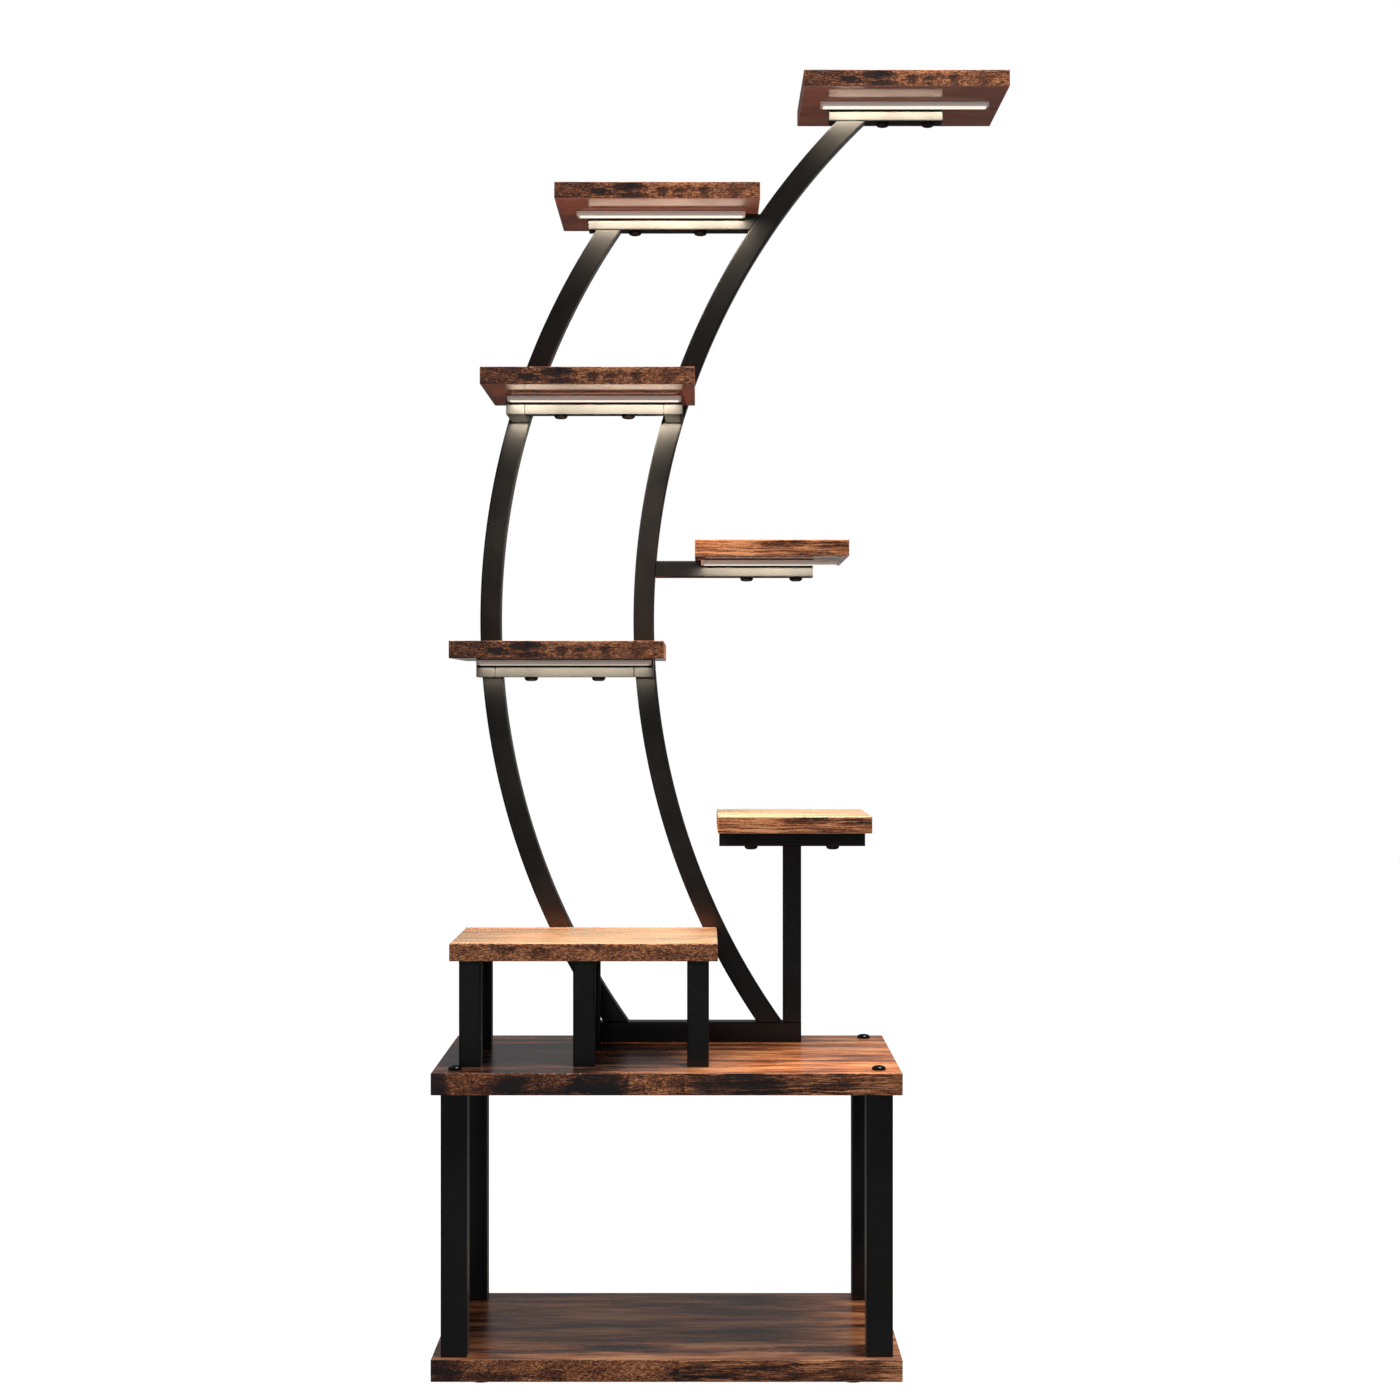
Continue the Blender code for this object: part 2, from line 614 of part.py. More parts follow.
def crossbar(name, corners, hollow, bolts):
    """A closed bar of the frame's depth. Its corners are its ends at the top, its ends below, and its top."""
    (top_left, top_right), (bottom_left, bottom_right), top = corners
    base = top - BAR_HEIGHT
    outline = [(top_left, top), (bottom_left, base), (bottom_right, base), (top_right, top)]
    bar = place(name, outline_mesh(name, outline, FRAME_TUBE), (0, FRAME_MIDDLE, 0), STANDING, "steel")
    low = (hollow[0], FRAME_FRONT + TUBE_WALL, base + TUBE_WALL)
    high = (hollow[1], FRAME_FRONT + FRAME_TUBE - TUBE_WALL, top - TUBE_WALL)
    boolean(bar, "DIFFERENCE", place(name + "_hollow", box_mesh(name + "_hollow", low, high), (0, 0, 0)))
    for side, x in bolts:
        drill(bar, name + "_hole_" + side, x, FRAME_MIDDLE, base - OVERRUN, top + OVERRUN)


def shelf(name, left, width, front, level, bolts, bolt_y):
    """A shelf's board and the two bolts that hold it from below, through the bar under it."""
    high = (left + width, front + SHELF_DEPTH, level + SHELF_THICKNESS)
    top = board("shelf_" + name, (left, front, level), high)
    seat = level - 2 * SEAT_GAP - BAR_HEIGHT
    for side, x in bolts:
        place("shelf_bolt_" + name + "_" + side, SHELF_BOLT, (x, bolt_y, seat), finish="bolt")
        hole_top = level + SHELF_THICKNESS * BOLT_HOLE_SHARE
        drill(top, "shelf_hole_" + name + "_" + side, x, bolt_y, level - OVERRUN, hole_top)


def build_top_shelf():
    top = TOP_LEVEL - SEAT_GAP
    right = TOP_BAR_LEFT + TOP_BAR_LENGTH
    arc_inside = arc_x(RIGHT_CENTRE, INNER_RADIUS, top - BAR_HEIGHT)
    bolts = bolt_places(arc_inside + TOP_BOLT_OFFSET, TOP_BOLT_SPACING)
    corners = ((TOP_BAR_LEFT, right), (TOP_BAR_LEFT, right), top)
    crossbar("crossbar_top", corners, (TOP_BAR_LEFT + TUBE_WALL, right - TUBE_WALL), bolts)
    shelf("top", TOP_BOARD_LEFT, SHELF_WIDTH, CENTRED_SHELF_FRONT, TOP_LEVEL, bolts, FRAME_MIDDLE)
    light("top", TOP_BOARD_LEFT + SHELF_WIDTH / 2 + LIGHT_SHIFT, TOP_LEVEL, FRAME_FRONT, LIGHT_LENGTH)


def build_upper_shelf():
    """The upper shelf's bar lies on the left arc and butts against the right one."""
    top = UPPER_LEVEL - SEAT_GAP
    base = top - BAR_HEIGHT
    left = arc_x(LEFT_CENTRE, OUTER_RADIUS, base) - BAR_OVERHANG
    right_base = arc_x(RIGHT_CENTRE, OUTER_RADIUS + SEAT_GAP, base)
    right_top = arc_x(RIGHT_CENTRE, OUTER_RADIUS + SEAT_GAP, top)
    arc_inside = arc_x(LEFT_CENTRE, INNER_RADIUS, base)
    bolts = bolt_places(arc_inside + UPPER_BOLT_OFFSET, WIDE_BOLT_SPACING)
    corners = ((left, right_top), (left, right_base), top)
    crossbar("crossbar_upper", corners, (left + TUBE_WALL, right_base - 2 * TUBE_WALL), bolts)
    board_right = arc_x(RIGHT_CENTRE, OUTER_RADIUS, UPPER_LEVEL) - UPPER_BOARD_CLEARANCE
    board_left = board_right - SHELF_WIDTH
    shelf("upper", board_left, SHELF_WIDTH, CENTRED_SHELF_FRONT, UPPER_LEVEL, bolts, FRAME_MIDDLE)
    light("upper", board_left + SHELF_WIDTH / 2 + LIGHT_SHIFT, UPPER_LEVEL, FRAME_FRONT, LIGHT_LENGTH)


def build_side_upper_shelf():
    """A small shelf on an arm that butts against the right arc's inner side."""
    top = SIDE_UPPER_LEVEL - SEAT_GAP
    base = top - BAR_HEIGHT
    face = INNER_RADIUS - FACET_DEPTH - SEAT_GAP
    left_top = arc_x(RIGHT_CENTRE, face, top)
    left_base = arc_x(RIGHT_CENTRE, face, base)
    board_left = arc_x(RIGHT_CENTRE, INNER_RADIUS, SIDE_UPPER_LEVEL) + SIDE_BOARD_GAP
    right = board_left + SIDE_SHELF_WIDTH - SIDE_ARM_SHORTFALL
    first_bolt = right - SIDE_ARM_BOLT_END - SIDE_ARM_BOLT_SPACING
    bolts = bolt_places(first_bolt, SIDE_ARM_BOLT_SPACING)
    corners = ((left_top, right), (left_base, right), top)
    inner_left = max(left_top, left_base) + 2 * TUBE_WALL
    crossbar("side_arm", corners, (inner_left, right - TUBE_WALL), bolts)
    front = CENTRED_SHELF_FRONT
    shelf("side_upper", board_left, SIDE_SHELF_WIDTH, front, SIDE_UPPER_LEVEL, bolts, FRAME_MIDDLE)
    light("side_upper", board_left + SIDE_SHELF_WIDTH / 2, SIDE_UPPER_LEVEL, FRAME_FRONT, SIDE_LIGHT_LENGTH)


def build_side_lower_shelf():
    """A small shelf on a T-shaped stand: a post on the foot bar, with a bar across its head."""
    middle = post_left() + POST_WIDTH / 2
    foot = FOOT_BAR_TOP + SEAT_GAP
    top = SIDE_LOWER_LEVEL - SEAT_GAP
    neck = top - BAR_HEIGHT

    back = FRAME_FRONT + FRAME_TUBE

    def bar_box(wall):
        half = STAND_BAR_LENGTH / 2 - wall
        low = (middle - half, FRAME_FRONT + wall, neck + wall)
        return box_mesh("side_stand", low, (middle + half, back - wall, top - wall))

    def post_box(wall, below):
        half = POST_WIDTH / 2 - wall
        low = (middle - half, FRAME_FRONT + wall, foot - below)
        return box_mesh("side_post", low, (middle + half, back - wall, neck + BAR_HEIGHT / 2))

    stand = place("side_stand", bar_box(0), (0, 0, 0), finish="steel")
    boolean(stand, "UNION", place("side_post", post_box(0, 0), (0, 0, 0)))
    boolean(stand, "DIFFERENCE", place("side_post_hollow", post_box(TUBE_WALL, OVERRUN), (0, 0, 0)))
    boolean(stand, "DIFFERENCE", place("side_stand_hollow", bar_box(TUBE_WALL), (0, 0, 0)))
    bolts = bolt_places(middle - STAND_BOLT_SPACING / 2, STAND_BOLT_SPACING)
    for side, x in bolts:
        drill(stand, "side_stand_hole_" + side, x, FRAME_MIDDLE, neck - OVERRUN, top + OVERRUN)
    left = middle - SIDE_SHELF_WIDTH / 2
    shelf("side_lower", left, SIDE_SHELF_WIDTH, CENTRED_SHELF_FRONT, SIDE_LOWER_LEVEL, bolts, FRAME_MIDDLE)


def build_front_shelf(name, level):
    """A shelf in front of the frame, on a U-shaped bracket whose arms reach forward from both arcs."""
    top = level - SEAT_GAP
    bar_middle = top - BAR_HEIGHT / 2
    left_arm = arc_x(LEFT_CENTRE, ARC_RADIUS, bar_middle)
    right_arm = arc_x(RIGHT_CENTRE, ARC_RADIUS, bar_middle)
    back = FRAME_FRONT - SEAT_GAP

    def bracket_outline(wall, behind):
        half_arm = BRACKET_ARM_WIDTH / 2 - wall
        return [
            (left_arm - half_arm, back + behind),
            (left_arm - half_arm, BRACKET_FRONT + wall),
            (right_arm + half_arm, BRACKET_FRONT + wall),
            (right_arm + half_arm, back + behind),
            (right_arm - half_arm, back + behind),
            (right_arm - half_arm, BRACKET_FRONT + BRACKET_BAR_DEPTH - wall),
            (left_arm + half_arm, BRACKET_FRONT + BRACKET_BAR_DEPTH - wall),
            (left_arm + half_arm, back + behind),
        ]

    node = "bracket_" + name
    at = (0, 0, bar_middle)
    bracket = place(node, outline_mesh(node, bracket_outline(0, 0), BAR_HEIGHT), at, finish="steel")
    bore = outline_mesh(node + "_hollow", bracket_outline(TUBE_WALL, OVERRUN), BAR_HEIGHT - 2 * TUBE_WALL)
    boolean(bracket, "DIFFERENCE", place(node + "_hollow", bore, at))
    middle = (left_arm + right_arm) / 2
    bolts = bolt_places(middle - WIDE_BOLT_SPACING / 2, WIDE_BOLT_SPACING)
    for side, x in bolts:
        below = top - BAR_HEIGHT - OVERRUN
        drill(bracket, node + "_hole_" + side, x, BRACKET_BAR_MIDDLE, below, top + OVERRUN)
    centre = middle - FRONT_SHELF_SHIFT
    front = BENCH_FRONT_INSET
    shelf(name, centre - SHELF_WIDTH / 2, SHELF_WIDTH, front, level, bolts, BRACKET_BAR_MIDDLE)
    light(name, centre + LIGHT_SHIFT, level, BRACKET_FRONT, LIGHT_LENGTH)


def light(name, centre, level, bar_front, length):
    """A slim light bar on a shelf's underside, in front of its bar: a base with end caps, a cover, LEDs."""
    left = centre - length / 2
    right = centre + length / 2
    back = bar_front - LIGHT_GAP
    middle = back - LIGHT_DEPTH / 2
    top = level - SEAT_GAP
    base = top - LIGHT_BASE_THICKNESS
    bottom = top - LIGHT_HEIGHT

    housing_outline = [
        (left, top),
        (left, bottom),
        (left + LIGHT_CAP_LENGTH, bottom),
        (left + LIGHT_CAP_LENGTH, base),
        (right - LIGHT_CAP_LENGTH, base),
        (right - LIGHT_CAP_LENGTH, bottom),
        (right, bottom),
        (right, top),
    ]
    node = "light_housing_" + name
    at = (0, middle, 0)
    housing = place(node, outline_mesh(node, housing_outline, LIGHT_DEPTH), at, STANDING, "light_body")
    inlet = cylinder_mesh(node + "_inlet", LIGHT_INLET_RADIUS, LIGHT_CAP_LENGTH + 2 * OVERRUN)
    inlet_at = (right - LIGHT_CAP_LENGTH - OVERRUN, middle, (base + bottom) / 2)
    boolean(housing, "DIFFERENCE", place(node + "_inlet", inlet, inlet_at, (0, math.pi / 2, 0)))

    cover_top = base - SEAT_GAP
    half = LIGHT_DEPTH / 2
    wall = LIGHT_COVER_WALL
    cover_outline = [
        (middle - half, cover_top),
        (middle - half, bottom),
        (middle + half, bottom),
        (middle + half, cover_top),
        (middle + half - wall, cover_top),
        (middle + half - wall, bottom + wall),
        (middle - half + wall, bottom + wall),
        (middle - half + wall, cover_top),
    ]
    cover_length = length - 2 * LIGHT_CAP_LENGTH - 2 * SEAT_GAP
    cover = outline_mesh("light_diffuser_" + name, cover_outline, cover_length)
    place("light_diffuser_" + name, cover, (centre, 0, 0), (math.pi / 2, 0, math.pi / 2), "light_cover")

    strip_top = base - SEAT_GAP
    strip_base = strip_top - CIRCUIT_THICKNESS
    strip_half = cover_length / 2 - CIRCUIT_END_GAP
    low = (centre - strip_half, middle - CIRCUIT_WIDTH / 2, strip_base)
    high = (centre + strip_half, middle + CIRCUIT_WIDTH / 2, strip_top)
    node = "light_circuit_" + name
    strip = place(node, box_mesh(node, low, high), (0, 0, 0), finish="circuit")
    row = led_row(node + "_leds", strip_half)
    boolean(strip, "UNION", place(node + "_leds", row, (centre, middle, strip_base)))


def led_row(name, strip_half):
    """A row of square LEDs along X, hanging below the origin and reaching a little above it."""
    count = int(2 * (strip_half - LED_SIZE) / LED_PITCH) + 1
    shape = bmesh.new()
    for index in range(count):
        x = (index - (count - 1) / 2) * LED_PITCH
        made = bmesh.ops.create_cube(shape, size=1)["verts"]
        height = LED_HEIGHT * (1 + LED_OVERLAP_SHARE)
        bmesh.ops.scale(shape, verts=made, vec=(LED_SIZE, LED_SIZE, height))
        bmesh.ops.translate(shape, verts=made, vec=(x, 0, height / 2 - LED_HEIGHT))
    mesh = bpy.data.meshes.new(name)
    shape.to_mesh(mesh)
    shape.free()
    return mesh


build_base()
build_bench()
build_foot_bar()
build_arcs()
build_side_lower_shelf()
build_side_upper_shelf()
build_front_shelf("lower", LOWER_LEVEL)
build_front_shelf("middle", MIDDLE_LEVEL)
build_upper_shelf()
build_top_shelf()
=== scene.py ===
# %% [markdown]
# # A plant stand with grow lights
#
# The stand is a low base of two printed boards on steel legs, a small bench, and a half moon of bent square
# tube that carries square shelves with light bars under them. Its load-bearing shapes come in as a fixed
# frame. This lesson gives each of them the surface of the real thing: eased boards with a worn wood print,
# powder-coated tubes with rounded corners, button-head bolts and glowing light bars.

# %% Load the frame
import math

import bmesh
import bpy
from mathutils import Matrix, Vector


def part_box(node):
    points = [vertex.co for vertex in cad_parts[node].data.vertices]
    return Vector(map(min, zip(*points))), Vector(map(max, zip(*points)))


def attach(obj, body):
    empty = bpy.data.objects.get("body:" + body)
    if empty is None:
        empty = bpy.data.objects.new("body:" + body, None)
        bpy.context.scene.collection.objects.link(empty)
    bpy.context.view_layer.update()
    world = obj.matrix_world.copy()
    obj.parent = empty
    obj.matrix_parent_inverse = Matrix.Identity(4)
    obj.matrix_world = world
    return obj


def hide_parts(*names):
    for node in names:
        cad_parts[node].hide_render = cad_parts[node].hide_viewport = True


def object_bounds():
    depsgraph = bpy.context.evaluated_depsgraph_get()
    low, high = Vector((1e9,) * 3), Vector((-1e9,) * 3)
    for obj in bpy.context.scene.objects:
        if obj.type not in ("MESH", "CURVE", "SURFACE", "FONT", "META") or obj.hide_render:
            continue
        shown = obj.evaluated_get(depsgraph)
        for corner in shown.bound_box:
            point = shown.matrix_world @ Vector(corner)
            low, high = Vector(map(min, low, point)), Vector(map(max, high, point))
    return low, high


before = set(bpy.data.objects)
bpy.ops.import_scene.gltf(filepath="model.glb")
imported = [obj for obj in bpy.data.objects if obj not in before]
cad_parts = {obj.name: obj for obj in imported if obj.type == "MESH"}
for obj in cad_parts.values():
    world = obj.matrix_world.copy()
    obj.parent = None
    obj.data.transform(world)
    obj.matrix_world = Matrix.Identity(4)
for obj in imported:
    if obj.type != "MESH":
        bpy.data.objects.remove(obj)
cad_low, cad_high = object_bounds()
print("frame nodes:", len(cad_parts), "size:", [round(side, 3) for side in cad_high - cad_low])

# %% [markdown]
# ## The camera
#
# The picture has one vanishing point, in its middle, so the camera looks straight along +Y with no tilt. Its
# height is where the boards turn from showing their tops to showing their undersides. The lens follows from
# how fast the base boards narrow towards the back.

# %% Camera
EYE = Vector((-0.03265, -2.81675, 0.771))
LENS_MM = 60.69
SENSOR_MM = 36


def add_object(name, data):
    """Puts a mesh, a lamp or a camera into the scene."""
    made = bpy.data.objects.new(name, data)
    bpy.context.scene.collection.objects.link(made)
    return made


camera_data = bpy.data.cameras.new("camera")
camera_data.lens = LENS_MM
camera_data.sensor_width = SENSOR_MM
camera = add_object("camera", camera_data)
camera.location = EYE
camera.rotation_euler = (math.pi / 2, 0, 0)
bpy.context.scene.camera = camera
bpy.context.scene.view_settings.view_transform = "Standard"
print("camera at", tuple(EYE), "lens", LENS_MM, "mm")

# %% [markdown]
# ## Wiring materials
#
# Every finish here is a small network of nodes. Writing each link by hand hides the idea behind it, so one
# helper adds a node, sets its options and either links or sets each input. The others wrap what comes back
# all the time: sums, the mixer and the colour ramp with their look-alike sockets, stretched noise, and a
# finish whose colour and gloss waver a little, as they do on every real surface.


# %% Material helpers
def new_material(name):
    made = bpy.data.materials.new(name)
    made.use_nodes = True
    return made, made.node_tree, made.node_tree.nodes["Principled BSDF"]


def plug(tree, socket, value):
    """Links an output to the socket, or sets the socket's own value."""
    if isinstance(value, bpy.types.NodeSocket):
        tree.links.new(value, socket)
    else:
        socket.default_value = value


def feed(tree, fed, inputs):
    for name, value in inputs.items():
        plug(tree, fed.inputs[name], value)


def node(tree, kind, inputs, **options):
    made = tree.nodes.new("ShaderNode" + kind)
    for name, value in options.items():
        setattr(made, name, value)
    feed(tree, made, inputs)
    return made


def maths(tree, operation, first, second=0.0, clamp=False):
    return node(tree, "Math", {0: first, 1: second}, operation=operation, use_clamp=clamp).outputs[0]


def times(tree, first, second):
    return maths(tree, "MULTIPLY", first, second)


def mix(tree, factor, first, second):
    """Mixes two colours."""
    return node(tree, "Mix", {0: factor, 6: first, 7: second}, data_type="RGBA").outputs[2]


def swing(tree, value, amount):
    """Turns a noise around 0.5 into a swing around 0 of some strength."""
    return times(tree, maths(tree, "SUBTRACT", value, 0.5), amount)


def total(tree, *values):
    made = values[0]
    for value in values[1:]:
        made = maths(tree, "ADD", made, value)
    return made


def ramp(tree, factor, stops):
    """A colour ramp. Each stop is a place from 0 to 1 and a colour."""
    made = node(tree, "ValToRGB", {"Fac": factor})
    line = made.color_ramp.elements
    while len(line) < len(stops):
        line.new(0.5)
    for element, (place, colour) in zip(line, stops):
        element.position = place
        element.color = (*colour, 1)
    return made.outputs[0]


def attribute(tree, name):
    return node(tree, "Attribute", {}, attribute_name=name).outputs["Fac"]


def object_place(tree):
    return node(tree, "TexCoord", {}).outputs["Object"]


def noise(tree, place, grain, detail=4.0, roughness=0.55, distortion=0.0):
    """Noise over a place. Grain says how many spots a metre holds along each axis."""
    stretched = node(tree, "Mapping", {"Vector": place, "Scale": grain}).outputs[0]
    look = {"Scale": 1.0, "Detail": detail, "Roughness": roughness, "Distortion": distortion}
    return node(tree, "TexNoise", {"Vector": stretched, **look}).outputs[0]


def spread(tree, value, low, high, to_low=0.0, to_high=1.0):
    """Maps a range to another one, smoothly, and holds it at the ends."""
    ends = {"From Min": low, "From Max": high, "To Min": to_low, "To Max": to_high}
    return node(tree, "MapRange", {"Value": value, **ends}, interpolation_type="SMOOTHSTEP").outputs[0]


def wavering_finish(name, grain, colours, roughness, detail=3, reach=0.2):
    """A finish whose colour and roughness each waver between two values."""
    made, tree, shader = new_material(name)
    waver = noise(tree, object_place(tree), grain, detail=detail)
    colour = ramp(tree, waver, list(zip((0.5 - reach, 0.5 + reach), colours)))
    feed(tree, shader, {"Base Color": colour, "Roughness": spread(tree, waver, 0.3, 0.7, *roughness)})
    return made, tree, shader


print("material helpers ready")

# %% [markdown]
# ## The printed boards
#
# The boards are fibreboard with a printed paper skin. The print shows an old plank: long reddish-brown grain
# with grey-black stains on the broad faces, and a busier band round the edges, mottled in places and streaky
# in others. One way would be a picture. Here the print is worked out from noise instead, stretched along the
# grain, so it stays sharp at any distance. The pattern reads a UV map in metres, as if every board were cut
# from one long printed sheet. Four face attributes say what a face shows: the band, its streaky kind, an
# underside, or a top that carries painted glare. All faces share five inks, and a ramp lays them out from
# dark to light.

# %% Inks of the print
INKS = {
    "stain": (0.010, 0.009, 0.010),
    "dark brown": (0.050, 0.020, 0.013),
    "red brown": (0.195, 0.065, 0.028),
    "orange brown": (0.420, 0.158, 0.066),
    "tan": (0.630, 0.298, 0.138),
}


def inked(tree, value, places):
    """Turns a value into the inks. Places says at which value each ink is pure."""
    return ramp(tree, value, list(zip(places, INKS.values())))


board_finish, tree, shader = new_material("rustic_board_finish")
sheet = node(tree, "UVMap", {}, uv_map="sheet").outputs[0]
band = attribute(tree, "band")
streaky = attribute(tree, "streaky")
under = attribute(tree, "under")
painted_glare = attribute(tree, "painted_glare")
print("inks:", ", ".join(INKS))

# %% [markdown]
# ## Stains on the sheet
#
# A printer's plank has stains at fixed places, and every board cut at the same place shows them again: the
# four wide shelves carry the same dark patch on their front edges. So the stains are a list of soft ellipses
# on the sheet, with frayed rims. A negative depth makes the print lighter there instead. Most lie on the
# bands, and a few large ones on the tops of the two base boards.

# %% Stains
# Centre along the grain and across it, reach along and across, all in millimetres, and depth
STAINS = [
    # Front edges of the four wide shelves
    (18, 10, 45, 30, 0.4),
    (54, 8, 10, 4, 0.6),
    (86, 14, 19, 6, 1.0),
    (90, 4, 18, 3, 0.8),
    (150, 17.5, 40, 3, -0.5),
    (127, 9, 6, 5, 0.7),
    (148, 9, 7, 3, 0.6),
    (178, 9, 6, 7, 0.75),
    (213, 10, 8, 6, 0.5),
    # Of the two side shelves
    (490, 10, 50, 30, -0.1),
    (553, 15.5, 26, 4, 0.9),
    (600, 8, 50, 20, 0.15),
    # Of the bottom board
    (914, 12, 20, 20, 0.9),
    (965, 6, 30, 6, 0.6),
    (1035, 8, 20, 6, 0.4),
    (1135, 16, 30, 9, -0.45),
    (1186, 9, 18, 10, 0.9),
    (1240, 8, 35, 8, 0.75),
    (1290, 16, 35, 6, 0.65),
    (1310, 10, 130, 40, 0.38),
    (1350, 6, 40, 5, 0.5),
    (1418, 12, 14, 30, -0.6),
    # Of the middle board
    (1606, 12, 12, 20, 0.9),
    (1700, 12, 150, 50, 0.22),
    (1980, 12, 200, 60, 0.66),
    (1662, 6, 15, 6, 0.5),
    (1690, 12, 18, 14, 0.9),
    (1735, 4, 30, 5, 0.6),
    (1787, 10, 34, 12, 0.95),
    (1848, 12, 40, 30, -0.78),
    (1940, 12, 60, 14, 0.8),
    (2050, 10, 30, 6, 0.5),
    (2100, 16, 30, 8, -0.3),
    # Of the bench board
    (2363, 13, 14, 5, 0.6),
    (2403, 9, 13, 6, 0.7),
    (2460, 16, 20, 4, 0.6),
    (2440, 12, 170, 40, -0.25),
    (2531, 17, 20, 3, -0.5),
    (2550, 6, 35, 4, 0.5),
    # Tops of the bottom board and the middle board
    (4120, 955, 50, 11, 1.0),
    (4310, 944, 70, 12, 1.0),
    (4235, 1075, 600, 400, -0.17),
    (4706, 1740, 120, 200, 0.8),
    (5060, 1700, 220, 210, -0.22),
]
STAIN_EDGE = 0.9
FRAY_GRAIN = (70, 240, 1)
FRAY = 2.4

frayed = swing(tree, noise(tree, sheet, FRAY_GRAIN, roughness=0.65), FRAY)
stain = 0.0
for *in_mm, depth in STAINS:
    along, across, reach_along, reach_across = (length / 1000 for length in in_mm)
    shrink = Vector((1 / reach_along, 1 / reach_across, 0))
    shift = Vector((-along / reach_along, -across / reach_across, 0))
    placed = node(tree, "Mapping", {"Vector": sheet, "Location": shift, "Scale": shrink}).outputs[0]
    away = node(tree, "VectorMath", {0: placed}, operation="LENGTH").outputs["Value"]
    here = spread(tree, total(tree, away, frayed), 1 - STAIN_EDGE / 2, 1 + STAIN_EDGE / 2, depth, 0.0)
    stain = total(tree, stain, here)
print("stains:", len(STAINS))

# %% [markdown]
# ## The busy band round the edges
#
# Two kinds of print alternate along the band. The mottled one is short flecks with finer specks between
# them, in paler and darker patches. The streaky one is long wavy lines of grain, crossed by pale hair lines
# and dusted with the same flecks. Both are sums of a few noises around a middle value, and the inks turn
# that value into colour. A stain darkens both kinds, and calms the flecks where it lies.

# %% Band print
# Spots in a metre along the grain and across it
FLECK_GRAIN = (185, 600, 1)
SPECK_GRAIN = (420, 950, 1)
PATCH_GRAIN = (30, 100, 1)
WAVE_GRAIN = (14, 30, 1)
LINE_GRAIN = (20, 440, 1)
SWELL_GRAIN = (11, 120, 1)
HAIR_GRAIN = (12, 400, 1)

BAND_LEVEL = 0.545
STAIN_DARKENS = 0.34
STAIN_CALMS = 0.55
FLECKS = 2.6
SPECKS = 1.9
PATCHES = 0.8
MOTTLED_INKS = (0.12, 0.36, 0.56, 0.78, 1.0)

WAVE_HEIGHT = 0.010
LINES = 1.9
SWELLS = 1.0
STREAKY_FLECKS = 1.3
STREAKY_SPECKS = 0.8
HAIR_LINES = 0.36
HAIR_CORE = 0.02
HAIR_RIM = 0.18
STREAKY_INKS = (0.10, 0.34, 0.55, 0.78, 1.0)


def wavy_sheet(tree, waves, height):
    """The sheet, shifted across the grain by a noise of some height in metres."""
    lift = node(tree, "CombineXYZ", {"Y": swing(tree, waves, height)}).outputs[0]
    return node(tree, "VectorMath", {0: sheet, 1: lift}, operation="ADD").outputs["Vector"]


flecks = noise(tree, sheet, FLECK_GRAIN, detail=5, roughness=0.74, distortion=0.5)
specks = noise(tree, sheet, SPECK_GRAIN, detail=3, roughness=0.6)
patches = noise(tree, sheet, PATCH_GRAIN, roughness=0.6)
calm = maths(tree, "SUBTRACT", 1.0, times(tree, stain, STAIN_CALMS), clamp=True)
darkened = maths(tree, "SUBTRACT", BAND_LEVEL, times(tree, stain, STAIN_DARKENS))
mottled_value = total(
    tree,
    darkened,
    times(tree, swing(tree, flecks, FLECKS), calm),
    times(tree, swing(tree, specks, SPECKS), calm),
    swing(tree, patches, PATCHES),
)
mottled_colour = inked(tree, mottled_value, MOTTLED_INKS)

waved = wavy_sheet(tree, noise(tree, sheet, WAVE_GRAIN, roughness=0.65), WAVE_HEIGHT)
lines = noise(tree, waved, LINE_GRAIN, roughness=0.65)
swells = noise(tree, waved, SWELL_GRAIN, detail=3, roughness=0.5)
hairs = noise(tree, waved, HAIR_GRAIN, detail=2, roughness=0.5)
hairs = maths(tree, "ABSOLUTE", swing(tree, hairs, 2.0))
hairs = spread(tree, hairs, HAIR_CORE, HAIR_RIM, HAIR_LINES, 0.0)
streaky_value = total(
    tree,
    darkened,
    swing(tree, lines, LINES),
    swing(tree, swells, SWELLS),
    swing(tree, flecks, STREAKY_FLECKS),
    swing(tree, specks, STREAKY_SPECKS),
    hairs,
)
streaky_colour = inked(tree, streaky_value, STREAKY_INKS)
band_colour = mix(tree, streaky, mottled_colour, streaky_colour)
print("band print:", len(tree.nodes), "nodes so far")

# %% [markdown]
# ## The broad faces
#
# The tops carry long, calm grain with dark lens-shaped streaks. Two of them, low on the stand and close
# under a light, carry painted glare: their tops are mixed towards a pale honey that stands for strong light
# washing out the print. The undersides are smoother and redder, with a glossier lacquer, so at a flat angle
# they mirror the lit bar beside them. Their reds are also raised and greyed with painted light, standing for
# light bounced up from the floor and a grey sheen. Fibres and pores also give the print a faint relief.

# %% Broad faces
DRIFT_GRAIN = (5, 10, 1)
BROAD_GRAIN = (6, 40, 1)
FIBRE_GRAIN = (18, 480, 1)
PORE_GRAIN = (110, 1500, 1)
DRIFT_HEIGHT = 0.016

TOP_LEVEL = 0.60
TOP_STREAKS = 1.9
TOP_FIBRES = 1.4
TOP_FLECKS = 0.3
TOP_INKS = (0.12, 0.34, 0.54, 0.76, 1.0)
# Painted glare: the colour that the tops right under a lamp are mixed towards, standing for strong light
# washing out the print
PAINTED_GLARE_HONEY = (0.49, 0.42, 0.31, 1)
PAINTED_GLARE_SHARE = 0.50

UNDER_STREAKS = 1.2
UNDER_FIBRES = 0.6
# Partly the undersides' own redder print and partly painted light: these reds are raised and greyed to stand
# for light bounced up from the floor and a grey sheen
UNDER_REDS_AND_PAINTED_BOUNCE = [(0.2, (0.320, 0.190, 0.182)), (0.5, (0.440, 0.262, 0.232)), (0.8, (0.570, 0.335, 0.270))]

